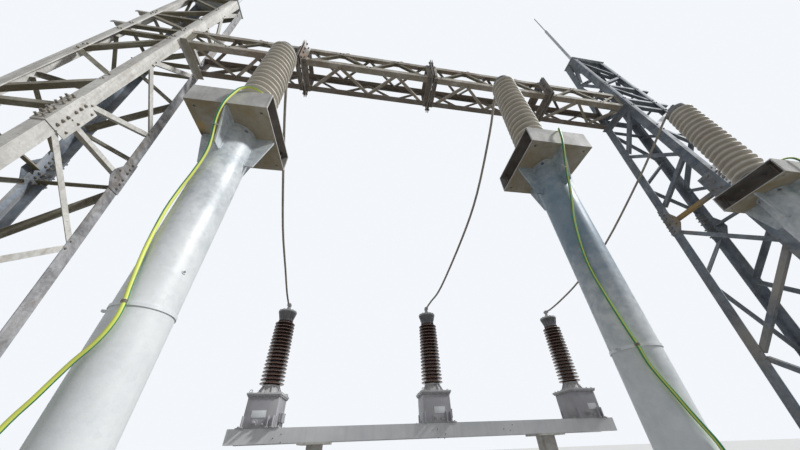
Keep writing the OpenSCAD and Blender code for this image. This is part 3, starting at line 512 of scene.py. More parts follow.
def makeCord(name, path, spec, material, replaced, marks=((0, 0.5),)):
    # A flat grid is rolled up round the path; U runs along in metres, V around.
    # marks tell how far round the broad yellow stripe's middle is at some lengths
    bm = bmesh.new()
    uv = bm.loops.layers.uv.new("along")
    last = len(path) - 1
    bmesh.ops.create_grid(bm, x_segments=last, y_segments=spec["sides"], size=0.5)
    far = [0.0]
    turns = [up.rotation_difference(path[1] - path[0])]
    for i in range(1, last + 1):
        far.append(far[-1] + (path[i] - path[i - 1]).length)
        ahead = path[min(i + 1, last)] - path[i - 1]
        turns.append((turns[-1] @ up).rotation_difference(ahead) @ turns[-1])
    for face in bm.faces:
        for loop in face.loops:
            spot = loop.vert.co
            run = far[round((spot.x + 0.5) * last)]
            loop[uv].uv = (run, spot.y + 1.0 - drift(marks, run))
    for v in bm.verts:
        i = round((v.co.x + 0.5) * last)
        v.co = path[i] + turns[i] @ around(360 * (v.co.y + 0.5), spec["diameter"] / 2)
    bmesh.ops.remove_doubles(bm, verts=bm.verts, dist=1e-6)
    bmesh.ops.holes_fill(bm, edges=bm.edges, sides=spec["sides"])
    cord = finishPiece(bm, name, material, (replaced,), angle=60)
    tuple(path[0])


sheathSpec = {
    "green": (0.008, 0.24, 0.105), "yellow": (0.79, 0.86, 0.15), "share": 0.37,
    "narrow": 0.13, "dust": (0.45, 0.42, 0.34), "rough": 0.38,
}


def makeSheath(spec):
    material, tree, shader, place = startMaterial("earthSheath")
    along = addNode(tree, "UVMap", uv_map="along").outputs[0]
    turn = mathNode(tree, "FRACT", axisOf(tree, along, "Y"))
    off = mathNode(tree, "ABSOLUTE", mathNode(tree, "SUBTRACT", turn, 0.5))
    broad, thin = spec["share"] / 2, 0.5 - spec["narrow"] / 2
    stripe = mathNode(tree, "MAXIMUM", rangeNode(tree, off, broad + 0.01, broad - 0.01),
                      rangeNode(tree, off, thin - 0.01, thin + 0.01))
    colour = mixColour(tree, stripe, spec["green"], spec["yellow"])
    patches = useGroup(tree, weatherGroup, place, {"Size": 3.0})["Patches"]
    rough = rangeNode(tree, patches, 0.0, 1.0, spec["rough"], spec["rough"] + 0.2)
    feed(shader, {"Base Color": layer(tree, colour, patches, 0.12, spec["dust"]),
                  "Roughness": rough})
    return material


wireSpec = {
    "dark": (0.26, 0.225, 0.185), "light": (0.56, 0.51, 0.44), "strands": 14,
    "lay": 5.0, "rough": 0.5,
}


def makeStrands(spec):
    material, tree, shader, place = startMaterial("conductorStrands")
    along = addNode(tree, "UVMap", uv_map="along").outputs[0]
    turn = mathNode(tree, "MULTIPLY_ADD", axisOf(tree, along, "X"), spec["lay"],
                    axisOf(tree, along, "Y"))
    wave = mathNode(tree, "SINE", times(tree, turn, 2 * pi * spec["strands"]))
    # Darker in the grooves between the strands (painted shade), lighter on their crowns
    crownLightMask = rangeNode(tree, wave, -1.0, 0.6)
    patches = useGroup(tree, weatherGroup, place, {"Size": 4.0})["Patches"]
    share = times(tree, crownLightMask, rangeNode(tree, patches, 0.0, 1.0, 0.55, 1.0))
    bump = addNode(tree, "Bump", {"Strength": 0.6, "Distance": 0.0015, "Height": wave})
    feed(shader, {"Base Color": mixColour(tree, share, spec["dark"], spec["light"]),
                  "Roughness": rangeNode(tree, crownLightMask, 0.0, 1.0, 0.8, spec["rough"]),
                  "Metallic": 0.1, "Normal": bump.outputs[0]})
    return material


earthSheath = makeSheath(sheathSpec)
conductorStrands = makeStrands(wireSpec)

sides = ("left", "middle", "right")
polePlaces = dict(zip(sides, (Vector((x, -1.365, 0)) for x in (-1.715, 0.285, 2.285))))
tankPlaces = dict(zip(sides, (Vector((x, 1.365, 0)) for x in (-2.0, 0.0, 2.0))))

# Points of the routes in millimetres, the earth cables' from the pole's axis
conductorSpec = {"diameter": 0.024, "sides": 12, "stiffness": "stiff", "steps": 4, "routes": {
    "left": [
        (-1715, -1325, 4581), (-1715, -1315, 4581), (-1715, -1305, 4581), (-1715, -1267, 4574),
        (-1718, -1234, 4554), (-1722, -1205, 4513), (-1730, -1120, 4330), (-1790, -680, 4080),
        (-1860, -10, 3690), (-1920, 600, 3500), (-1970, 1000, 3420), (-1994, 1240, 3385),
        (-2000, 1305, 3383), (-2000, 1315, 3383), (-2000, 1325, 3383)],
    "middle": [
        (285, -1325, 4581), (285, -1315, 4581), (285, -1305, 4581), (284, -1266, 4574),
        (280, -1228, 4548), (273, -1180, 4487), (250, -1010, 4260), (200, -570, 3850),
        (150, -110, 3620), (70, 700, 3400), (20, 1100, 3385), (4, 1250, 3383), (0, 1305, 3383),
        (0, 1315, 3383), (0, 1325, 3383)],
    "right": [
        (2285, -1325, 4581), (2285, -1315, 4581), (2285, -1305, 4581), (2283, -1260, 4560),
        (2270, -1180, 4500), (2250, -1030, 4380), (2210, -690, 4140), (2140, -20, 3740),
        (2080, 590, 3510), (2040, 1000, 3420), (2010, 1230, 3385), (2000, 1305, 3383),
        (2000, 1315, 3383), (2000, 1325, 3383)],
}}
earthEnd = [(44, -122, 100), (44, -122, 75), (44, -122, 50)]
earthLow = [
    (-19, -145, 2968), (-18, -127, 2914), (-25, -113, 2844), (-42, -99, 2755), (-62, -87, 2668),
    (-80, -70, 2520), (-88, -59, 2354), (-84, -66, 2192), (-76, -77, 2038), (-70, -84, 1954),
    (-66, -87, 1878), (-54, -95, 1817), (-36, -103, 1754), (-17, -107, 1696), (3, -108, 1650),
    (24, -107, 1604), (38, -105, 1540), (44, -105, 1440), (42, -108, 1200), (36, -116, 900),
    (34, -121, 600), (38, -122, 350), (43, -122, 180)]
earthSpec = {"diameter": 0.014, "sides": 16, "stiffness": "medium", "steps": 3, "stripes": {
    "left": ((0, 0.77), (0.36, 0.69), (0.7, 0.77), (1.1, 0.78), (1.42, 1.0)),
    "middle": ((0, 0.55), (0.2, 0.55), (0.4, 0.70), (1.6, 0.72), (2.3, 1.0)),
    "right": ((0, 0.40), (1.6, 0.60), (2.1, 0.60)),
}, "routes": {
    "left": [
        (150, -140, 3374), (150, -150, 3374), (150, -160, 3374), (146, -182, 3375),
        (134, -202, 3376), (115, -215, 3376), (92, -222, 3374), (68, -226, 3363),
        (49, -228, 3342), (34, -230, 3306), (14, -231, 3200), (4, -222, 3135), (-6, -204, 3085),
        (-13, -180, 3037), (-15, -148, 2965), (-18, -128, 2897), (-28, -113, 2828),
        (-44, -100, 2730), (-58, -93, 2640), (-63, -92, 2500), (-46, -97, 2323),
        (-25, -104, 2209), (-7, -107, 2118), (5, -109, 2065), (9, -109, 2012), (2, -109, 1960),
        (-14, -108, 1917), (-35, -107, 1878), (-56, -105, 1830), (-76, -105, 1775),
        (-98, -106, 1720), (-114, -108, 1640), (-112, -112, 1520), (-76, -118, 1280),
        (-32, -122, 1000), (8, -122, 700), (36, -122, 350)] + earthEnd,
    "middle": [
        (50, -152, 3374), (50, -160, 3374), (50, -168, 3374), (46, -188, 3373),
        (37, -206, 3368), (23, -221, 3356), (8, -231, 3334), (-4, -234, 3287),
        (-12, -229, 3225), (-17, -219, 3175), (-18, -200, 3120), (-18, -178, 3062),
        (-18, -163, 3020)] + earthLow + earthEnd,
    "right": [
        (-60, -152, 3374), (-60, -160, 3374), (-60, -168, 3374), (-56, -188, 3374),
        (-45, -206, 3373), (-28, -219, 3370), (-10, -227, 3362), (8, -231, 3345),
        (18, -233, 3312), (8, -232, 3235), (-10, -229, 3186), (-17, -212, 3136),
        (-18, -188, 3082), (-18, -166, 3025)] + earthLow + earthEnd,
}}
conductorPaths, earthPaths = (
    {side: smoothPath(spec["routes"][side], spec["steps"]) for side in sides}
    for spec in (conductorSpec, earthSpec))
for side in sides:
    makeCord("conductorRope_" + side, conductorPaths[side], conductorSpec, conductorStrands,
             "conductor_" + side)
    makeCord("earthLead_" + side, [p + polePlaces[side] for p in earthPaths[side]], earthSpec,
             earthSheath, "earth_cable_" + side, earthSpec["stripes"][side])

print("stage: post insulators")
postSpec = {
    "base": 3.35, "low": 0.068, "first": 0.096, "top": 1.147, "sheds": 17, "pitch": 0.061,
    "core": 0.075, "radius": 0.116, "topRadius": 0.103, "shed": 0.044, "steps": 72,
    "capLow": 1.137, "capHigh": 1.192, "boltCircle": 0.111, "bolt": 0.013,
}


def shedPoints(z, core, r, t):
    # Underside, rounded rim and sloping top of one shed
    shares = ((0.0, -0.06), (0.08, 0.02), (0.3, 0.08), (0.66, 0.15), (0.86, 0.2),
              (0.96, 0.28), (1.0, 0.41), (0.97, 0.52), (0.88, 0.59), (0.64, 0.69),
              (0.3, 0.84), (0.1, 0.95), (0.0, 1.1))
    return [(core + (r - core) * out, z + t * rise) for out, rise in shares]


def makePorcelain(name, replaced, place, spec, glaze):
    core, narrowing = spec["core"], spec["topRadius"] - spec["radius"]
    profile = [(0.0, spec["low"]), (core, spec["low"])]
    for k in range(spec["sheds"]):
        r = spec["radius"] + narrowing * k / (spec["sheds"] - 1)
        profile += shedPoints(spec["first"] + k * spec["pitch"], core, r, spec["shed"])
    profile += [(core, spec["top"]), (0.0, spec["top"])]
    bm = bmesh.new()
    addLathe(bm, profile, 0.0, spec["steps"])
    # Share of the way out to the shed rims, for the painted rim highlight
    rim = bm.verts.layers.float.new("rim")
    for v in bm.verts:
        v[rim] = min(max((v.co.xy.length - core) / (spec["topRadius"] - core), 0.0), 1.0)
    finishPiece(bm, name, glaze, (replaced,), 50, place + up * spec["base"])


def addClamp(bm, z, ahead):
    # Two jaws with their bolts, and the ferrule that the conductor leaves by
    back, lip = sorted((-0.024 * ahead, 0.040 * ahead))
    for low in (z, z + 0.019):
        addBox(bm, (-0.024, back, low), (0.024, lip, low + 0.015), 0.003)
    addRod(bm, (0, 0.03 * ahead, z + 0.017), (0, 0.054 * ahead, z + 0.017), 0.0165, 20, 0.0150)
    for shift in (-0.013, 0.013):
        addBolt(bm, (shift, 0.024 * ahead, z + 0.034), up, 0.008)


def makePostFittings(side, spec):
    bm = bmesh.new()
    # foot flange with its socket, then cap and stud
    addLathe(bm, [(0, 0), (0.122, 0), (0.125, 0.003), (0.125, 0.015), (0.122, 0.018),
                  (0.101, 0.018), (0.093, 0.024), (0.0895, 0.035), (0.088, 0.076),
                  (0.085, 0.084), (0.079, 0.088), (0.0, 0.088)])
    addLathe(bm, [(0, -0.006), (0.077, -0.006), (0.080, -0.002), (0.080, 0.03),
                  (0.076, 0.045), (0.066, 0.055), (0, 0.055)], spec["capLow"])
    addLathe(bm, [(0, -0.002), (0.026, -0.002), (0.024, 0.01), (0.015, 0.014),
                  (0.015, 0.066), (0.012, 0.07), (0, 0.07)], spec["capHigh"], 24)
    addClamp(bm, spec["capHigh"] + 0.022, 1)
    for step in range(4):
        for bolt in boltPair(around(45 + 90 * step, spec["boltCircle"], 0.018), up, 0.026,
                             spec["bolt"]):
            addBolt(bm, *bolt, step)
    finishPiece(bm, "postFittings_" + side, castIron,
                place=polePlaces[side] + up * spec["base"])


for side in sides:
    makePorcelain("postPorcelain_" + side, "post_insulator_" + side, polePlaces[side],
                  postSpec, postGlaze)
    makePostFittings(side, postSpec)

print("stage: transformers")
tankSpec = {
    "level": 1.865, "half": (0.1675, 0.18), "height": 0.325, "lid": 0.022,
    "lidHalf": (0.1875, 0.2), "collar": 0.012, "ribs": 8,
    "plates": {"left": (-0.09, 0.06), "middle": (-0.042, 0.088), "right": (0.005, 0.12)},
    "plateLevels": (0.098, 0.168), "posts": (-0.16, 0.1, 0.15), "post": (0.006, 0.034, 0.115),
    "valve": (-0.04, 0.052), "earth": 0.045, "lidBolts": (-0.14, -0.07, 0.0, 0.07, 0.14),
}
shaftSpec = {"base": 2.315, "low": 0.0, "first": 0.008, "top": 0.817, "sheds": 18,
             "pitch": 0.0447, "shed": 0.0275, "core": 0.0825, "radius": 0.14,
             "topRadius": 0.125, "steps": 64}


def addNeck(bm, top, spec):
    # Rings, cone, ribs and flange bolts
    addLathe(bm, [(0, 0), (0.148, 0), (0.15, 0.002), (0.15, 0.009), (0.148, 0.011),
                  (0.122, 0.012), (0.115, 0.018), (0.086, 0.086), (0.09, 0.090),
                  (0.099, 0.090), (0.1, 0.092), (0.1, 0.101), (0.098, 0.103), (0, 0.103)], top)
    pitch = 360 / spec["ribs"]
    for rib in range(spec["ribs"]):
        turn = Matrix.Rotation(radians(pitch * (rib + 0.5)), 3, "Z")
        verts = [bm.verts.new(turn @ Vector((r, 0.004, top + z)))
                 for r, z in ((0.07, 0.006), (0.143, 0.006), (0.143, 0.014), (0.098, 0.094),
                              (0.07, 0.094))]
        made = bmesh.ops.extrude_face_region(bm, geom=[bm.faces.new(verts)])["geom"]
        bmesh.ops.translate(bm, vec=turn @ Vector((0, -0.008, 0)),
                            verts=[v for v in made if isinstance(v, bmesh.types.BMVert)])
        addBolt(bm, around(pitch * rib, 0.136, top + 0.010), up, 0.010, rib)


def addTankEnd(bm, s, top, spec):
    # One end's foot with its stiffeners, lifting lug and lid bolts
    wide, deep = spec["half"]
    lidWide, lidDeep = spec["lidHalf"]
    foot, stay = s * (wide + 0.0275), s * (wide + 0.004)
    addBox(bm, (foot - 0.0285, -deep, 0), (foot + 0.0285, deep, 0.008), 0.0015)
    for y in (-deep + 0.023, deep - 0.023):
        addBox(bm, (stay - 0.006, y - 0.003, 0.004), (stay + 0.006, y + 0.003, 0.11), 0.001)
    for y in (-0.14, 0.14):
        addBolt(bm, (s * (wide + 0.038), y, 0.008), up, 0.014)
    lug = Vector((s * (lidWide - 0.031), s * (lidDeep - 0.034), top))
    addRing(bm, Matrix.Translation(lug + up * 0.018) @ Matrix.Rotation(pi / 2, 4, "X"),
            0.016, 0.009, 20)
    addRod(bm, lug - up * 0.001, lug + up * 0.005, 0.012, 12)
    for along in spec["lidBolts"]:
        for x, y in ((along, s * (lidDeep - 0.01)), (s * (lidWide - 0.01), along)):
            addBolt(bm, (x, y, top), up, 0.010, along)
            addBolt(bm, (x, y, spec["height"] - 0.014), -up, 0.009, along)


def addTerminalBox(bm, wide):
    # Box on the right wall with its cover, screws and glands
    addBox(bm, (wide - 0.001, -0.06, 0.06), (wide + 0.036, 0.06, 0.15), 0.004)
    addBox(bm, (wide + 0.035, -0.064, 0.056), (wide + 0.045, 0.064, 0.154), 0.002)
    for y in (-0.055, 0.055):
        for z in (0.066, 0.144):
            addBolt(bm, (wide + 0.045, y, z), (1, 0, 0), 0.005)
    for y in (-0.03, 0.03):
        addRod(bm, (wide + 0.018, y, 0.035), (wide + 0.018, y, 0.061), 0.013, 12)


def addTankFront(bm, wall, spec):
    # Upright flats at the corners, drain valve and earth terminal
    thick, reach, tall = spec["post"]
    for x in spec["posts"]:
        addBox(bm, (x - thick, wall - reach, 0.001), (x + thick, wall + 0.001, tall), 0.002)
        addBox(bm, (x - thick - 0.012, wall - reach - 0.006, 0.001),
               (x + thick + 0.012, wall + 0.001, 0.012), 0.002)
    valve = Vector((spec["valve"][0], wall, spec["valve"][1]))
    addRod(bm, valve - front * 0.001, valve + front * 0.010, 0.034, 24)
    addRod(bm, valve + front * 0.009, valve + front * 0.040, 0.017)
    addBolt(bm, valve + front * 0.040, front, 0.018)
    for step in range(4):
        corner = around(45 + 90 * step, 0.026)
        addBolt(bm, valve + Vector((corner.x, -0.010, corner.y)), front, 0.006)
    x = spec["earth"]
    addBox(bm, (x - 0.02, wall - 0.03, 0.03), (x + 0.02, wall + 0.001, 0.038), 0.001)
    addBolt(bm, (x, wall - 0.016, 0.038), up, 0.010)


def makeTank(side, spec):
    wide, deep = spec["half"]
    lidWide, lidDeep = spec["lidHalf"]
    collarWide, collarDeep = wide + spec["collar"], deep + spec["collar"]
    high, top = spec["height"], spec["height"] + spec["lid"]
    bm = bmesh.new()
    addBox(bm, (-wide, -deep, 0), (wide, deep, high + 0.001), 0.008)
    addBox(bm, (-lidWide, -lidDeep, high), (lidWide, lidDeep, top), 0.003)
    addBox(bm, (-collarWide, -collarDeep, high - 0.014), (collarWide, collarDeep, high - 0.001),
           0.002)
    addNeck(bm, top, spec)
    for s in (-1, 1):
        addTankEnd(bm, s, top, spec)
    addTerminalBox(bm, wide)
    addTankFront(bm, -deep, spec)
    finishPiece(bm, "transformerTank_shell_" + side, tankPaint,
                ("transformer_tank_" + side,), place=tankPlaces[side] + up * spec["level"])


def makeBlankPlate(side, spec):
    wall = -spec["half"][1]
    left, right = spec["plates"][side]
    low, high = spec["plateLevels"]
    bm = bmesh.new()
    addBox(bm, (left, wall - 0.0035, low), (right, wall - 0.0005, high), 0.0008)
    for x in (left + 0.008, right - 0.008):
        for z in (low + 0.008, high - 0.008):
            addRod(bm, (x, wall - 0.003, z), (x, wall - 0.006, z), 0.003, 8, 0.002)
    finishPiece(bm, "blankPlate_" + side, plateMetal,
                place=tankPlaces[side] + up * spec["level"])


cupSpec = {"base": 3.132, "ribs": 12, "clamp": 0.234}


def makeCup(side, spec):
    bm = bmesh.new()
    addLathe(bm, [(0, 0), (0.091, 0), (0.0925, 0.002), (0.0925, 0.018), (0.09, 0.02),
                  (0.086, 0.022), (0.085, 0.03), (0.088, 0.045), (0.104, 0.105),
                  (0.111, 0.122), (0.117, 0.127), (0.119, 0.130), (0.119, 0.146),
                  (0.117, 0.149), (0.104, 0.150), (0.098, 0.156), (0.08, 0.166),
                  (0.05, 0.174), (0.034, 0.182), (0.028, 0.195), (0.022, 0.224),
                  (0.015, 0.228), (0.015, 0.276), (0.012, 0.28), (0, 0.28)])
    for step in range(spec["ribs"]):
        turn = 360 / spec["ribs"] * (step + 0.5)
        addBolt(bm, around(turn, 0.111, 0.149), up, 0.008, step)
        addBolt(bm, around(turn, 0.086, 0.002), -up, 0.007, step)
        addRod(bm, around(turn, 0.084, 0.034), around(turn, 0.108, 0.124), 0.007, 8)
    addClamp(bm, spec["clamp"], -1)
    finishPiece(bm, "transformerCup_" + side, cupPaint,
                ("transformer_head_" + side,), place=tankPlaces[side] + up * spec["base"])


for side in sides:
    makePorcelain("transformerShaft_" + side, "transformer_porcelain_" + side, tankPlaces[side],
                  shaftSpec, brownGlaze)
    makeTank(side, tankSpec)
    makeBlankPlate(side, tankSpec)
    makeCup(side, cupSpec)

print("stage: poles and heads")
poleSpec = {
    "radius": 0.095, "top": 3.2, "boltCircle": 0.16, "anchor": 0.0192, "bead": 0.009,
    "weld": 0.0035, "drain": (-22, 2.235, 0.0075), "strap": (0.0036, 0.0132, 0.0016),
    "bands": {"left": 2.07, "middle": 1.95, "right": 2.01},
    "ties": {"left": 3.037, "middle": 3.02, "right": 3.025},
    "tails": {"left": (1, 0.1, -0.3), "middle": (-1, -0.2, 0.35), "right": (-1, -0.2, 0.35)},
}


def nearPoint(path, height):
    # The cable's point and direction at a height on its way down
    for a, b in zip(path, path[1:]):
        if a.z >= height > b.z:
            return a.lerp(b, (a.z - height) / (a.z - b.z)), (b - a).normalized()
    return path[-1], -up


def addGussetWelds(bm, turn, spec, low, high, level, reach):
    # Beads on both sides of a gusset, up the pole and out along the plate
    for s in (-1, 1):
        root = around(turn, spec["radius"]) + around(turn + 90, 0.005 * s)
        flat = root + up * level
        addRod(bm, root + up * low, root + up * high, spec["weld"], 8)
        addRod(bm, flat, flat + around(turn, reach), spec["weld"], 8)


def makePoleWelds(side, spec):
    r, top = spec["radius"], spec["top"]
    bm = bmesh.new()
    for height in (top - 0.002, 0.022):
        addRing(bm, Matrix.Translation((0, 0, height)), r + 0.002, spec["bead"])
    if side == "left":
        # rim of the drain hole
        turn, height, radius = spec["drain"]
        addRing(bm, aimAt(around(turn, r, height), around(turn)), radius, 0.005, 20)
    for step in range(4):
        addGussetWelds(bm, 90 * step, spec, 2.955, 3.196, top - 0.001, 0.1)
        addGussetWelds(bm, 90 * step + 45, spec, 0.02, 0.196, 0.021, 0.085)
    finishPiece(bm, "poleWelds_" + side, poleZinc, place=polePlaces[side])


def makeBandStrap(side, spec):
    out, wide, thick = spec["strap"]
    outer, low = spec["radius"] + out, spec["bands"][side] - wide / 2
    inner, high = outer - thick, low + wide
    bm = bmesh.new()
    addLathe(bm, [(inner, low), (outer, low), (outer, high), (inner, high), (inner, low)])
    finishPiece(bm, "bandStrap_" + side, plateMetal, place=polePlaces[side])


def makePoleHardware(side, spec):
    bm = bmesh.new()
    for step in range(4):
        place = around(90 * step, spec["boltCircle"], 0.02)
        addRod(bm, place - up * 0.018, place + up * 0.062, 0.0095, 12)
        addBolt(bm, place, up, spec["anchor"], step)
        addBolt(bm, place + up * 0.017, up, spec["anchor"], step + 0.4)
    # strap over the cable and the crimped ends
    path = earthPaths[side]
    spot = nearPoint(path, spec["bands"][side])[0]
    face = Vector((spot.x, spot.y, 0)).normalized()
    across = Vector((-face.y, face.x, 0))
    arc = [spot + (face * cos(radians(turn)) + across * sin(radians(turn))) * 0.0085
           for turn in range(-90, 91, 30)]
    for a, b in zip(arc, arc[1:]):
        for lift in (0, -0.004, 0.004):
            addRod(bm, a + up * lift, b + up * lift, 0.0018, 6)
    for a, b in ((path[0], path[0] + (path[6] - path[0]).normalized() * 0.028),
                 (path[-1], path[-1] + up * 0.035)):
        addRod(bm, a, b, 0.0095, 16, 0.008)
    addBolt(bm, path[-1] + Vector((-0.017, 0, -0.014)), (-1, 0, 0), 0.010)
    finishPiece(bm, "poleHardware_" + side, boltZinc, place=polePlaces[side])


def makeCableTie(side, spec):
    bm = bmesh.new()
    spot, ahead = nearPoint(earthPaths[side], spec["ties"][side])
    addRing(bm, aimAt(spot, ahead), 0.0082, 0.0026, 24, 6)
    tail = Vector(spec["tails"][side])
    knot, half = spot + Vector((0.0078 * tail.x, -0.004, 0)), Vector((0.003, 0.003, 0.003))
    addRod(bm, knot, knot + tail.normalized() * 0.030, 0.0018, 6)
    addBox(bm, knot - half, knot + half, 0.0008)
    finishPiece(bm, "cableTie_" + side, plateMetal, place=polePlaces[side])


headSpec = {"inset": 0.172, "low": 3.204, "under": 3.342, "top": 3.35, "shank": 0.0078,
            "size": 0.012, "inside": (0.2, 0.2035), "floor": 3.207, "ceiling": 3.343,
            "soft": 0.0016}


def makeHeadBolts(side, spec):
    # Long bolts that hang from the head's top plate and end in its lower holes
    bm = bmesh.new()
    for x in (-spec["inset"], spec["inset"]):
        for y in (-spec["inset"], spec["inset"]):
            addRod(bm, (x, y, spec["low"]), (x, y, spec["top"]), spec["shank"], 12)
            addBolt(bm, (x, y, spec["top"]), up, spec["size"], x)
            addBolt(bm, (x, y, spec["under"]), -up, spec["size"], y)
    # The near-black steel paints the shade in the holes
    finishPiece(bm, "bolts_head_" + side, pinShadeSteel, place=polePlaces[side])


def makeHead(side, spec):
    def pickInside(middle):
        # Painted shade: the inner faces take a darker finish than the outer ones
        x, y, z = middle - polePlaces[side]
        wide, deep = spec["inside"]
        return int(abs(x) < wide and abs(y) < deep and spec["floor"] < z < spec["ceiling"])

    softenNode("pole_head_" + side, spec["soft"], headZinc, pickInside, (headInsideShade,))


for side in sides:
    for make in (makePoleWelds, makeBandStrap, makePoleHardware, makeCableTie):
        make(side, poleSpec)
    makeHeadBolts(side, headSpec)
    makeHead(side, headSpec)

print("stage: lattice")
columnSpec = {
    "x": 4.5, "y": -0.09, "half": 0.45, "topHalf": 0.145, "baseHalf": 0.735,
    "height": 9.85, "leg": 0.125, "wall": 0.015, "edge": 0.4, "reach": 0.1,
    "foot": 0.25, "splice": 4.62, "seat": 7.05, "clear": 0.28, "arms": (7.43, 8.13),
    "bar": 0.045, "topPitch": 0.75, "lower": 4, "upper": 3, "gap": 0.0378,
    "insets": (0.03, 0.075), "sideInset": 0.012, "plate": 0.008, "grip": 0.018,
    "bolt": 0.014, "sideBolt": 0.012, "spliceBolt": 0.017, "stud": 0.030,
    "soft": 0.0018, "rows": (-0.208, -0.133, -0.059, 0.059, 0.133, 0.208),
    "lines": (0.415, 0.355), "sideLine": {-1: 0.075, 1: 0.05},
    "sideExtras": {-1: ((0.165, -0.2), (0.165, 0.2), (0.165, -0.02)),
                   1: ((0.14, -0.11), (0.14, 0.01))},
    "barsWithin": 0.3, "anchors": (0.3925, 0.6725, 0.1), "capBolts": (0.38, 0.085),
}
beamSpec = {
    "y": -0.09, "front": 0.25, "low": 7.13, "high": 7.62, "laces": (7.21, 7.54),
    "joints": (-2.23, 0.07, 2.37), "first": 0.16, "pitch": 0.495, "wall": 0.012,
    "inset": 0.045, "flat": 0.19, "pair": 0.028, "bolt": 0.013, "jointBolt": 0.022,
    "jointLevels": (7.0875, 7.2933, 7.4567, 7.6625), "jointLines": (0.2925, 0.12),
    "collar": (0.066, 0.259, (7.16, 7.20, 7.55, 7.59)), "collarFlats": (7.121, 7.629),
    "collarLines": (0.19, 0.225),
}


def pickLeftColumn(rear):
    # Painted shade: on the front, legs and plates keep the bright finish and the bars between them
    # take the darker bar finish; on the rear, the outer leg side takes the dark slate finish and the
    # inner leg side the patchy shade finish
    def pick(middle):
        across = middle.x + columnSpec["x"]
        if abs(across) < columnSpec["barsWithin"]:
            return 1
        return (2 if across < 0 else 3) if rear else 0
    return pick


def pickBeamLaces(middle):
    # Laces are darker than the chords they join
    low, high = beamSpec["laces"]
    return int(low < middle.z < high)


picks = {"column_left_front": pickLeftColumn(False), "column_left_rear": pickLeftColumn(True),
         "beam_front": pickBeamLaces}
for name in nodes:
    if name.startswith(("column", "beam", "transformer_channel", "transformer_support")):
        softenNode(name, columnSpec["soft"], nodeFinish(name), picks.get(name),
                   (barShadeZinc, farShadeZinc, shadeZinc))


def columnLevels(spec, lowEnd, highStart):
    low = [spec["foot"] + i * (spec["splice"] - spec["foot"]) / spec["lower"]
           for i in range(spec["lower"])] + [lowEnd]
    high = [highStart] + [spec["splice"] + i * (spec["seat"] - spec["splice"]) / spec["upper"]
                          for i in range(1, spec["upper"] + 1)]
    return low, high


def barBolts(points, gap, insets):
    # Bolt places near both ends of every bar of a zigzag
    places = []
    for a, b in zip(points, points[1:]):
        a, b = Vector(a) + Vector((0, gap)), Vector(b) - Vector((0, gap))
        ahead = (b - a).normalized()
        for inset in insets:
            places += [a + ahead * inset, b - ahead * inset]
    return places


def zigzag(levels, start, reach):
    return [(start * (-1) ** i * reach(z), z) for i, z in enumerate(levels)]


def columnBolts(side, spec):
    tilt = (spec["baseHalf"] - spec["topHalf"]) / spec["height"]
    upright = Vector((tilt, 1)).normalized()
    centre = Vector((side * spec["x"], spec["y"], 0))
    edge, half, gap, bar = (spec[key] for key in ("edge", "half", "gap", "bar"))
    splice, clear = spec["splice"], spec["clear"]
    armLow, armHigh = spec["arms"]
    levels = [armHigh + bar + i * spec["topPitch"] for i in range(3)]

    def legAt(z):
        return spec["topHalf"] + (spec["height"] - z) * tilt

    low, high = columnLevels(spec, splice - clear, splice + clear)
    both, one = spec["insets"], spec["insets"][:1]
    bars = []
    for chain, start, insets in ((low, -1, both), (high, -1, both),
                                 ((armLow + bar, armHigh - bar), 1, one), (levels, -1, one)):
        bars += barBolts(zigzag(chain, start, lambda z: edge), gap, insets)
    bars += [(u, z) for z in (spec["seat"] + 0.06, spec["height"] - bar, armLow, armHigh)
             for u in (-edge + 0.005, -edge + 0.05, edge - 0.05, edge - 0.005)]
    bolts = []
    for sign in (-1, 1):
        normal = Vector((0, sign * upright.y, upright.x))

        def onFace(u, z, out):
            return centre + Vector((-sign * u, sign * legAt(z), z)) + normal * out

        for u, z in bars:
            if abs(u) >= half - spec["leg"] + spec["bolt"]:
                bolts += boltPair(onFace(u, z, 0), normal, spec["wall"], spec["bolt"])
        for row in spec["rows"]:
            for u in spec["lines"]:
                for s in (-1, 1):
                    bolts += boltPair(onFace(s * u, splice + row, spec["plate"]), normal,
                                      spec["grip"], spec["spliceBolt"], spec["stud"])
    # sides: bars between the front and rear legs, and the legs' side plates
    low, high = columnLevels(spec, splice - clear + 0.06, splice + clear - 0.04)
    for s in (-1, 1):
        normal = Vector((s, 0, 0))
        bars = []
        for chain, start in ((low, -1), (high, -1), (levels, 1)):
            points = zigzag(chain, start, lambda z: legAt(z) - spec["reach"])
            bars += barBolts(points, gap, (spec["sideInset"],))
        bars += [(share * (legAt(z) - spec["reach"] - spec["sideInset"]), z)
                 for z in (splice - 0.04, armLow, armHigh) for share in (-1, 1)]
        for y, z in bars:
            bolts += boltPair(centre + Vector((s * half, s * y, z)), normal, spec["wall"],
                              spec["sideBolt"])
        for sign in (-1, 1):
            places = [(spec["sideLine"][sign], row, spec["grip"], spec["spliceBolt"])
                      for row in spec["rows"]]
            places += [(inset, row, spec["plate"], spec["bolt"])
                       for inset, row in spec["sideExtras"][sign]]
            for inset, row, grip, size in places:
                z = splice + row
                place = Vector((s * (half + spec["plate"]), sign * (legAt(z) - inset), z))
                bolts += boltPair(centre + place, normal, grip, size)
    # feet and cap
    footX, footY, shift = spec["anchors"]
    capX, capY = spec["capBolts"]
    for s in (-1, 1):
        for sign in (-1, 1):
            for x in (s * footX - shift, s * footX + shift):
                place = centre + Vector((x, sign * footY, 0.02))
                bolts += [(place, up, 0.024), (place + up * 0.02, up, 0.022)]
            place = centre + Vector((s * capX, sign * capY, spec["height"] + 0.012))
            bolts.append((place, up, 0.018))
    return bolts


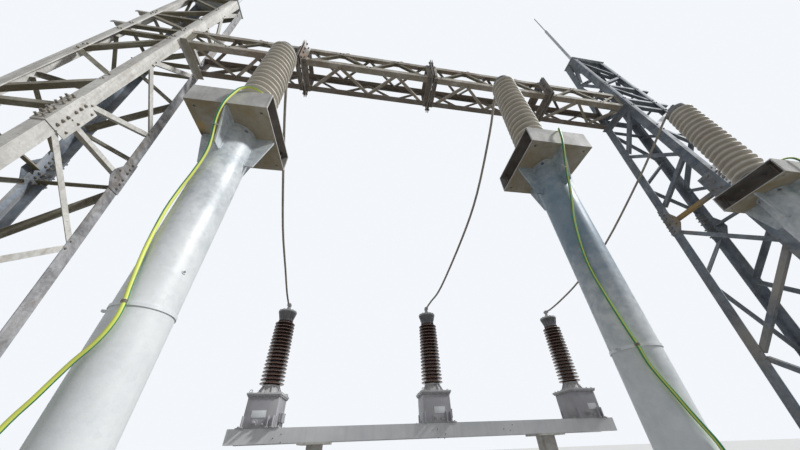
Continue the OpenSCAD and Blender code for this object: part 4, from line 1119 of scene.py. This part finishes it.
def beamBolts(spec):
    a, b, c = spec["joints"]
    bolts = []
    for start, way, count in ((a, -1, 4), (a, 1, 5), (b, 1, 5), (c, 1, 4)):
        for k in range(count):
            x = start + way * (spec["first"] + k * spec["pitch"])
            for shift in (-spec["pair"], spec["pair"]) if 0 < k < count - 1 else (0.0,):
                for sign in (-1, 1):
                    even = (k + (sign > 0)) % 2 == 0
                    z = spec["low"] + spec["inset"] if even else spec["high"] - spec["inset"]
                    place = Vector((x + shift, spec["y"] + sign * spec["front"], z))
                    bolts += boltPair(place, -front * sign, spec["wall"], spec["bolt"])
                for level, rise in ((spec["low"], -1), (spec["high"], 1)):
                    sign = -1 if (k + (rise < 0)) % 2 == 0 else 1
                    place = Vector((x + shift, spec["y"] + sign * spec["flat"], level))
                    bolts += boltPair(place, up * rise, spec["wall"], spec["bolt"])
    return bolts


def makeJointBolts(spec):
    levels, (wide, narrow) = spec["jointLevels"], spec["jointLines"]
    along, out, collarLevels = spec["collar"]
    rows = [(s * wide, z) for s in (-1, 1) for z in levels]
    rows += [(s * narrow, z) for s in (-1, 1) for z in (levels[0], levels[-1])]
    bm = bmesh.new()
    for x in spec["joints"]:
        for number, (y, z) in enumerate(rows):
            for s in (-1, 1):
                addBolt(bm, (x + s * 0.021, y, z), (s, 0, 0), spec["jointBolt"], number)
            addRod(bm, (x - 0.022, y, z), (x + 0.022, y, z), 0.011, 12)
        # bolts that hold the collars to the chords
        for collarX in (x - along, x + along):
            for s in (-1, 1):
                for z in collarLevels:
                    addBolt(bm, (collarX, s * out, z), (0, s, 0), spec["bolt"], z)
                for level, rise in zip(spec["collarFlats"], (-1, 1)):
                    for y in spec["collarLines"]:
                        addBolt(bm, (collarX, s * y, level), up * rise, spec["bolt"], y)
    finishPiece(bm, "bolts_joints", boltZinc, place=(0, spec["y"], 0))


print("stage: bolts")
for label, side in (("left", -1), ("right", 1)):
    makeBolts("bolts_column_" + label, columnBolts(side, columnSpec))
makeBolts("bolts_beam", beamBolts(beamSpec))
webSpec = {"y": 1.195, "size": 0.006, "places": (
    (-1.82, 1.77), (-1.74, 1.805), (-1.735, 1.73), (-0.02, 1.8), (0.07, 1.75),
    (-0.015, 1.715), (0.055, 1.71), (0.79, 1.78), (0.91, 1.82), (0.87, 1.765))}
makeBolts("bolts_channel", [((x, webSpec["y"], z), front, webSpec["size"])
                            for x, z in webSpec["places"]])
makeJointBolts(beamSpec)

print("stage: floor and light")
floorSpec = {"radius": 140, "pale": ((0.72, 0.72, 0.71), (0.76, 0.76, 0.75)),
             "lit": (0.22, 0.22, 0.215)}
lightSpec = {"sky": 0.34, "sun": 2.8, "azimuth": -18, "height": 42, "spread": 6,
             "skyColour": (0.95, 0.97, 1), "backdrop": (0.90, 0.93, 0.97)}


def unlitRays(tree):
    # Rays that see the backdrop but light nothing with it
    rays = addNode(tree, "LightPath").outputs
    seen = mathNode(tree, "MAXIMUM", rays["Is Camera Ray"], rays["Is Glossy Ray"])
    return mathNode(tree, "MAXIMUM", seen, rays["Is Transmission Ray"])


def makeFloor(spec):
    bm = bmesh.new()
    bmesh.ops.create_circle(bm, cap_ends=True, segments=96, radius=spec["radius"])
    mesh = bpy.data.meshes.new("floor")
    bm.to_mesh(mesh)
    bm.free()
    material, tree, shader, place = startMaterial("floorPaint")
    pale = mixColour(tree, noise(tree, place, 0.4, 4.0), *spec["pale"])
    feed(shader, {"Base Color": mixColour(tree, unlitRays(tree), spec["lit"], pale),
                  "Roughness": 0.9})
    mesh.materials.append(material)
    floor = bpy.data.objects.new("floor", mesh)
    scene.collection.objects.link(floor)


def makeLight(spec):
    lamp = bpy.data.lights.new("key", "SUN")
    lamp.energy = spec["sun"]
    lamp.angle = radians(spec["spread"])
    key = bpy.data.objects.new("key", lamp)
    height = radians(spec["height"])
    key.rotation_mode = "QUATERNION"
    key.rotation_quaternion = around(spec["azimuth"], cos(height),
                                     sin(height)).to_track_quat("Z", "Y")
    scene.collection.objects.link(key)
    world = bpy.data.worlds.new("studio")
    world.use_nodes = True
    scene.world = world
    tree = world.node_tree
    tree.nodes.clear()
    sky = addNode(tree, "Background", {"Color": spec["skyColour"], "Strength": spec["sky"]})
    backdrop = addNode(tree, "Background", {"Color": spec["backdrop"], "Strength": 1.0})
    mix = addNode(tree, "MixShader", {0: unlitRays(tree), 1: sky.outputs[0],
                                      2: backdrop.outputs[0]})
    addNode(tree, "OutputWorld", {"Surface": mix.outputs[0]})


makeFloor(floorSpec)
makeLight(lightSpec)
scene.view_settings.view_transform = "Standard"

print("stage: finish")
